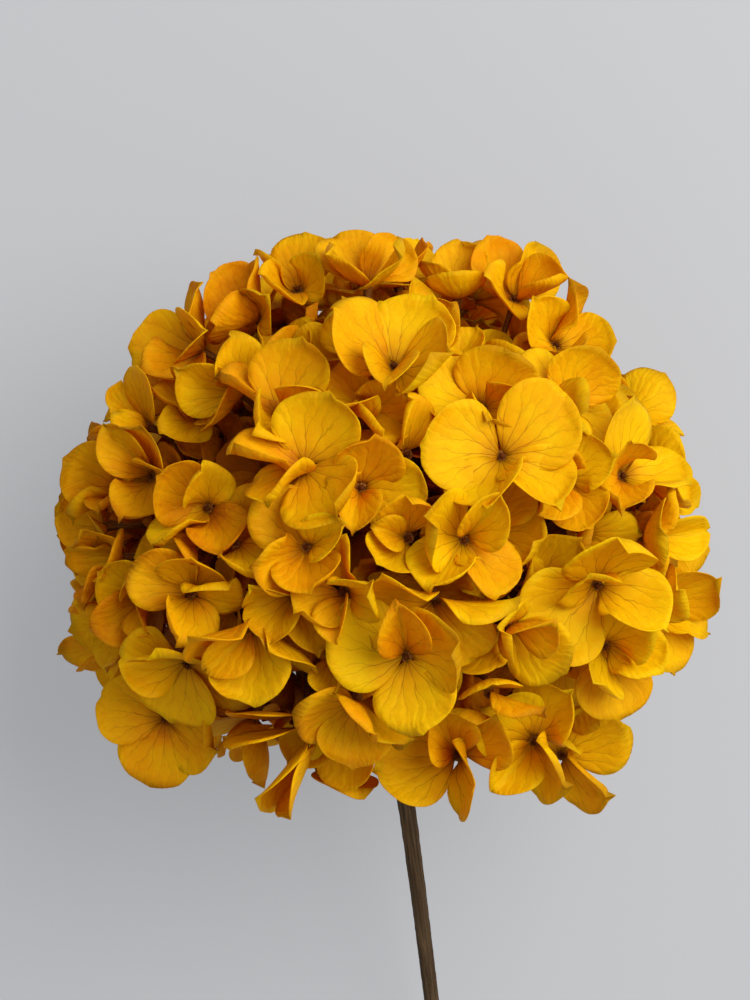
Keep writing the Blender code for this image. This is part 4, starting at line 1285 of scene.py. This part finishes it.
def curve_object(name, paths):
    """Smooth splines through the paths, each a list of (place, radius)."""
    curve = bpy.data.curves.new(name, "CURVE")
    curve.dimensions = "3D"
    for path in paths:
        spline = curve.splines.new("NURBS")
        spline.points.add(len(path) - 1)
        spline.order_u = min(4, len(path))
        spline.use_endpoint_u = True
        spline.resolution_u = 6
        for point, (place, radius) in zip(spline.points, path):
            point.co = (*place, 1)
            point.radius = radius
    return add_object(name, curve)


def swept(name, paths, group, material, skin):
    guide = curve_object(name + "_guide", paths)
    return apply_nodes(guide, group, name, Seed=float(len(paths)), Material=material, **skin)


def pedicel_points(fork, path):
    """A pedicel that thins from the fork, then swells under the eye."""
    _, joint, tip = path
    points = [(fork.lerp(joint, share), radius) for share, radius in PEDICEL_START]
    return points + [(joint.lerp(tip, share), radius) for share, radius in PEDICEL_END]


def branch_points(start, end, thick, thin):
    """A branch that swells where it leaves and where it ends, and bows a little."""
    way = end - start
    bow = way.cross(RIGHT).normalized() * BRANCH_BOW * way.length
    neck, middle, wrist = (start.lerp(end, share) for share in BRANCH_SHARES)
    return [(start, thick * BRANCH_FOOT), (neck, thick * BRANCH_NECK), (middle + bow, thin),
            (wrist, thin), (end + way.normalized() * GAP, thin * BRANCH_KNOB)]


def dress(piece, node):
    """Puts a finished piece on the flower's body in place of its CAD node."""
    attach(piece, BODY)
    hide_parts(node)


class Workshop:
    """The flower's plan, its trees and its materials, made once and used by every operator."""

    plan = None

    @classmethod
    def ready(cls, settings):
        if cls.plan:
            return cls
        cls.plan = plan_flower()
        under_florets(*cls.plan)
        cls.scatter = scatter_group()
        cls.sweep = sweep_group()
        mottle = mottle_group()
        cls.petal = petal_material(settings, vein_group(), mottle)
        stalk_colour = tuple(settings.stalk_colour)
        stem_colour = tuple(settings.stem_colour)
        cls.eye = dry_material("dried_eye", EYE_COLOUR, mottle, EYE_STREAK, EYE_ROUGHNESS)
        cls.stalk = dry_material("dried_stalk", stalk_colour, mottle, STALK_STREAK, STALK_ROUGHNESS)
        cls.bark = dry_material("stem_bark", stem_colour, mottle, BARK_STREAK, BARK_ROUGHNESS)
        return cls


class HYDRANGEA_OT_cymules(bpy.types.Operator):
    """Builds every cymule's sepals, eyes and pedicels over its CAD node"""

    bl_idname = "hydrangea.cymules"
    bl_label = "Cymules"

    def execute(self, context):
        settings = context.scene.hydrangea
        shop = Workshop.ready(settings)
        florets, cymules, _ = shop.plan
        sepals, picks = sepal_blades(settings)
        eyes = eye_buds()
        rng = random.Random(TINT_SEED)
        for number, cymule in enumerate(cymules, 1):
            name = f"cymule_{number:02d}"
            under = cymule.get("under", [])
            members = [florets[one] for one in cymule["members"]] + under
            rows = [sepal_row(floret, sepal, picks, rng) for floret in members for sepal in floret["sepals"]]
            buds = [eye_row(floret, settings.eye_size, rng) for floret in members]
            ways = cymule["pedicels"] + [pedicel_path(cymule["fork"], floret) for floret in under]
            paths = [pedicel_points(cymule["fork"], path) for path in ways]
            dress(apply_nodes(points_object("points", rows), shop.scatter, name + "_sepals",
                              Pieces=sepals, Material=shop.petal), name)
            dress(apply_nodes(points_object("points", buds), shop.scatter, name + "_eyes",
                              Pieces=eyes, Material=shop.eye), name)
            dress(swept(name + "_pedicels", paths, shop.sweep, shop.stalk, STALK_SKIN), name)
        for unit in (sepals, eyes):
            for thing in list(unit.objects):
                bpy.data.objects.remove(thing)
            bpy.data.collections.remove(unit)
        return {"FINISHED"}


class HYDRANGEA_OT_rays(bpy.types.Operator):
    """Builds the rays that branch from the crown to the cymules"""

    bl_idname = "hydrangea.rays"
    bl_label = "Rays"

    def execute(self, context):
        shop = Workshop.ready(context.scene.hydrangea)
        for number, ray in enumerate(shop.plan[2], 1):
            name = f"ray_{number:02d}"
            start, knob = ray["main"]
            inside = start - RAY_OVERLAP * (knob - start).normalized()
            paths = [branch_points(inside, knob, *RAY_RADII)]
            paths += [branch_points(*path, *BRANCH_RADII) for path in ray["branches"]]
            dress(swept(name + "_branches", paths, shop.sweep, shop.stalk, STALK_SKIN), name)
        return {"FINISHED"}


class HYDRANGEA_OT_stem(bpy.types.Operator):
    """Builds the bark-covered stem with its swollen crown"""

    bl_idname = "hydrangea.stem"
    bl_label = "Stem"

    def execute(self, context):
        shop = Workshop.ready(context.scene.hydrangea)
        path = stem_path()
        fine = [path[0].lerp(path[1], share) for share in CROWN_SHARES] + path[1:]
        points = list(zip(fine, CROWN_SWELL + STEM_RADII[1:]))
        dress(swept("stem_bark_skin", [points], shop.sweep, shop.bark, STEM_SKIN), "stem")
        return {"FINISHED"}


class HYDRANGEA_OT_stage(bpy.types.Operator):
    """Sets the floor, the soft studio light and the camera that looks down on the flower"""

    bl_idname = "hydrangea.stage"
    bl_label = "Stage"

    def execute(self, context):
        settings = context.scene.hydrangea
        add_floor(settings)
        add_lights(settings)
        add_camera()
        context.scene.view_settings.view_transform = "Standard"
        return {"FINISHED"}


def add_floor(settings):
    plane = bmesh.new()
    bmesh.ops.create_grid(plane, x_segments=1, y_segments=1, size=FLOOR_SIZE / 2)
    floor = add_object("floor", to_mesh("floor", plane))
    material, tree, shader = principled("pale_floor", Roughness=FLOOR_ROUGHNESS)
    tone = noise_node(tree, object_coordinates(tree), 3.0, 1.0)
    pale = (*settings.floor_colour, 1)
    paler = (*(part * FLOOR_MOTTLE for part in settings.floor_colour), 1)
    link(tree, mix_colour(tree, tone, pale, paler), shader.inputs["Base Color"])
    glow = add_node(tree, "ShaderNodeEmission", Color=(*settings.backdrop_colour, 1))
    seen = add_node(tree, "ShaderNodeLightPath").outputs["Is Camera Ray"]
    mix_shaders(tree, scaled(tree, seen, FLOOR_GLOW), shader, glow)
    floor.data.materials.append(material)


def add_lights(settings):
    world = bpy.data.worlds.new("soft_room")
    world.use_nodes = True
    background = world.node_tree.nodes["Background"]
    background.inputs["Color"].default_value = ROOM_COLOUR
    background.inputs["Strength"].default_value = settings.fill_strength
    bpy.context.scene.world = world
    lamp = bpy.data.lights.new("key", "AREA")
    lamp.energy = settings.key_power
    lamp.shape = "DISK"
    lamp.size = KEY_SIZE
    lamp.color = KEY_COLOUR
    key = add_object("key", lamp)
    key.location = HEAD_CENTRE + KEY_OFFSET
    key.rotation_euler = (-KEY_OFFSET).to_track_quat("-Z", "Y").to_euler()


def add_camera():
    data = bpy.data.cameras.new("camera")
    data.sensor_fit = "VERTICAL"
    data.lens = data.sensor_height / 2 / (VIEW_HALF_HEIGHT / CAMERA_DISTANCE)
    data.clip_start = CAMERA_NEAR
    camera = add_object("camera", data)
    camera.location = HEAD_CENTRE + Vector((CAMERA_SIDE, CAMERA_UP, CAMERA_DISTANCE))
    bpy.context.scene.camera = camera


class HYDRANGEA_PT_panel(bpy.types.Panel):
    bl_label = "Preserved hydrangea"
    bl_idname = "HYDRANGEA_PT_panel"
    bl_space_type = "VIEW_3D"
    bl_region_type = "UI"
    bl_category = "Hydrangea"

    def draw(self, context):
        for operator in OPERATORS:
            self.layout.operator(operator.bl_idname)
        for name in HydrangeaSettings.__annotations__:
            self.layout.prop(context.scene.hydrangea, name)


OPERATORS = (HYDRANGEA_OT_cymules, HYDRANGEA_OT_rays, HYDRANGEA_OT_stem, HYDRANGEA_OT_stage)
CLASSES = (HydrangeaSettings, *OPERATORS, HYDRANGEA_PT_panel)


def register():
    for item in CLASSES:
        bpy.utils.register_class(item)
    bpy.types.Scene.hydrangea = bpy.props.PointerProperty(type=HydrangeaSettings)


def unregister():
    del bpy.types.Scene.hydrangea
    for item in reversed(CLASSES):
        bpy.utils.unregister_class(item)


def main():
    register()
    bpy.ops.hydrangea.cymules()
    bpy.ops.hydrangea.rays()
    bpy.ops.hydrangea.stem()
    bpy.ops.hydrangea.stage()


if __name__ == "__main__":
    main()
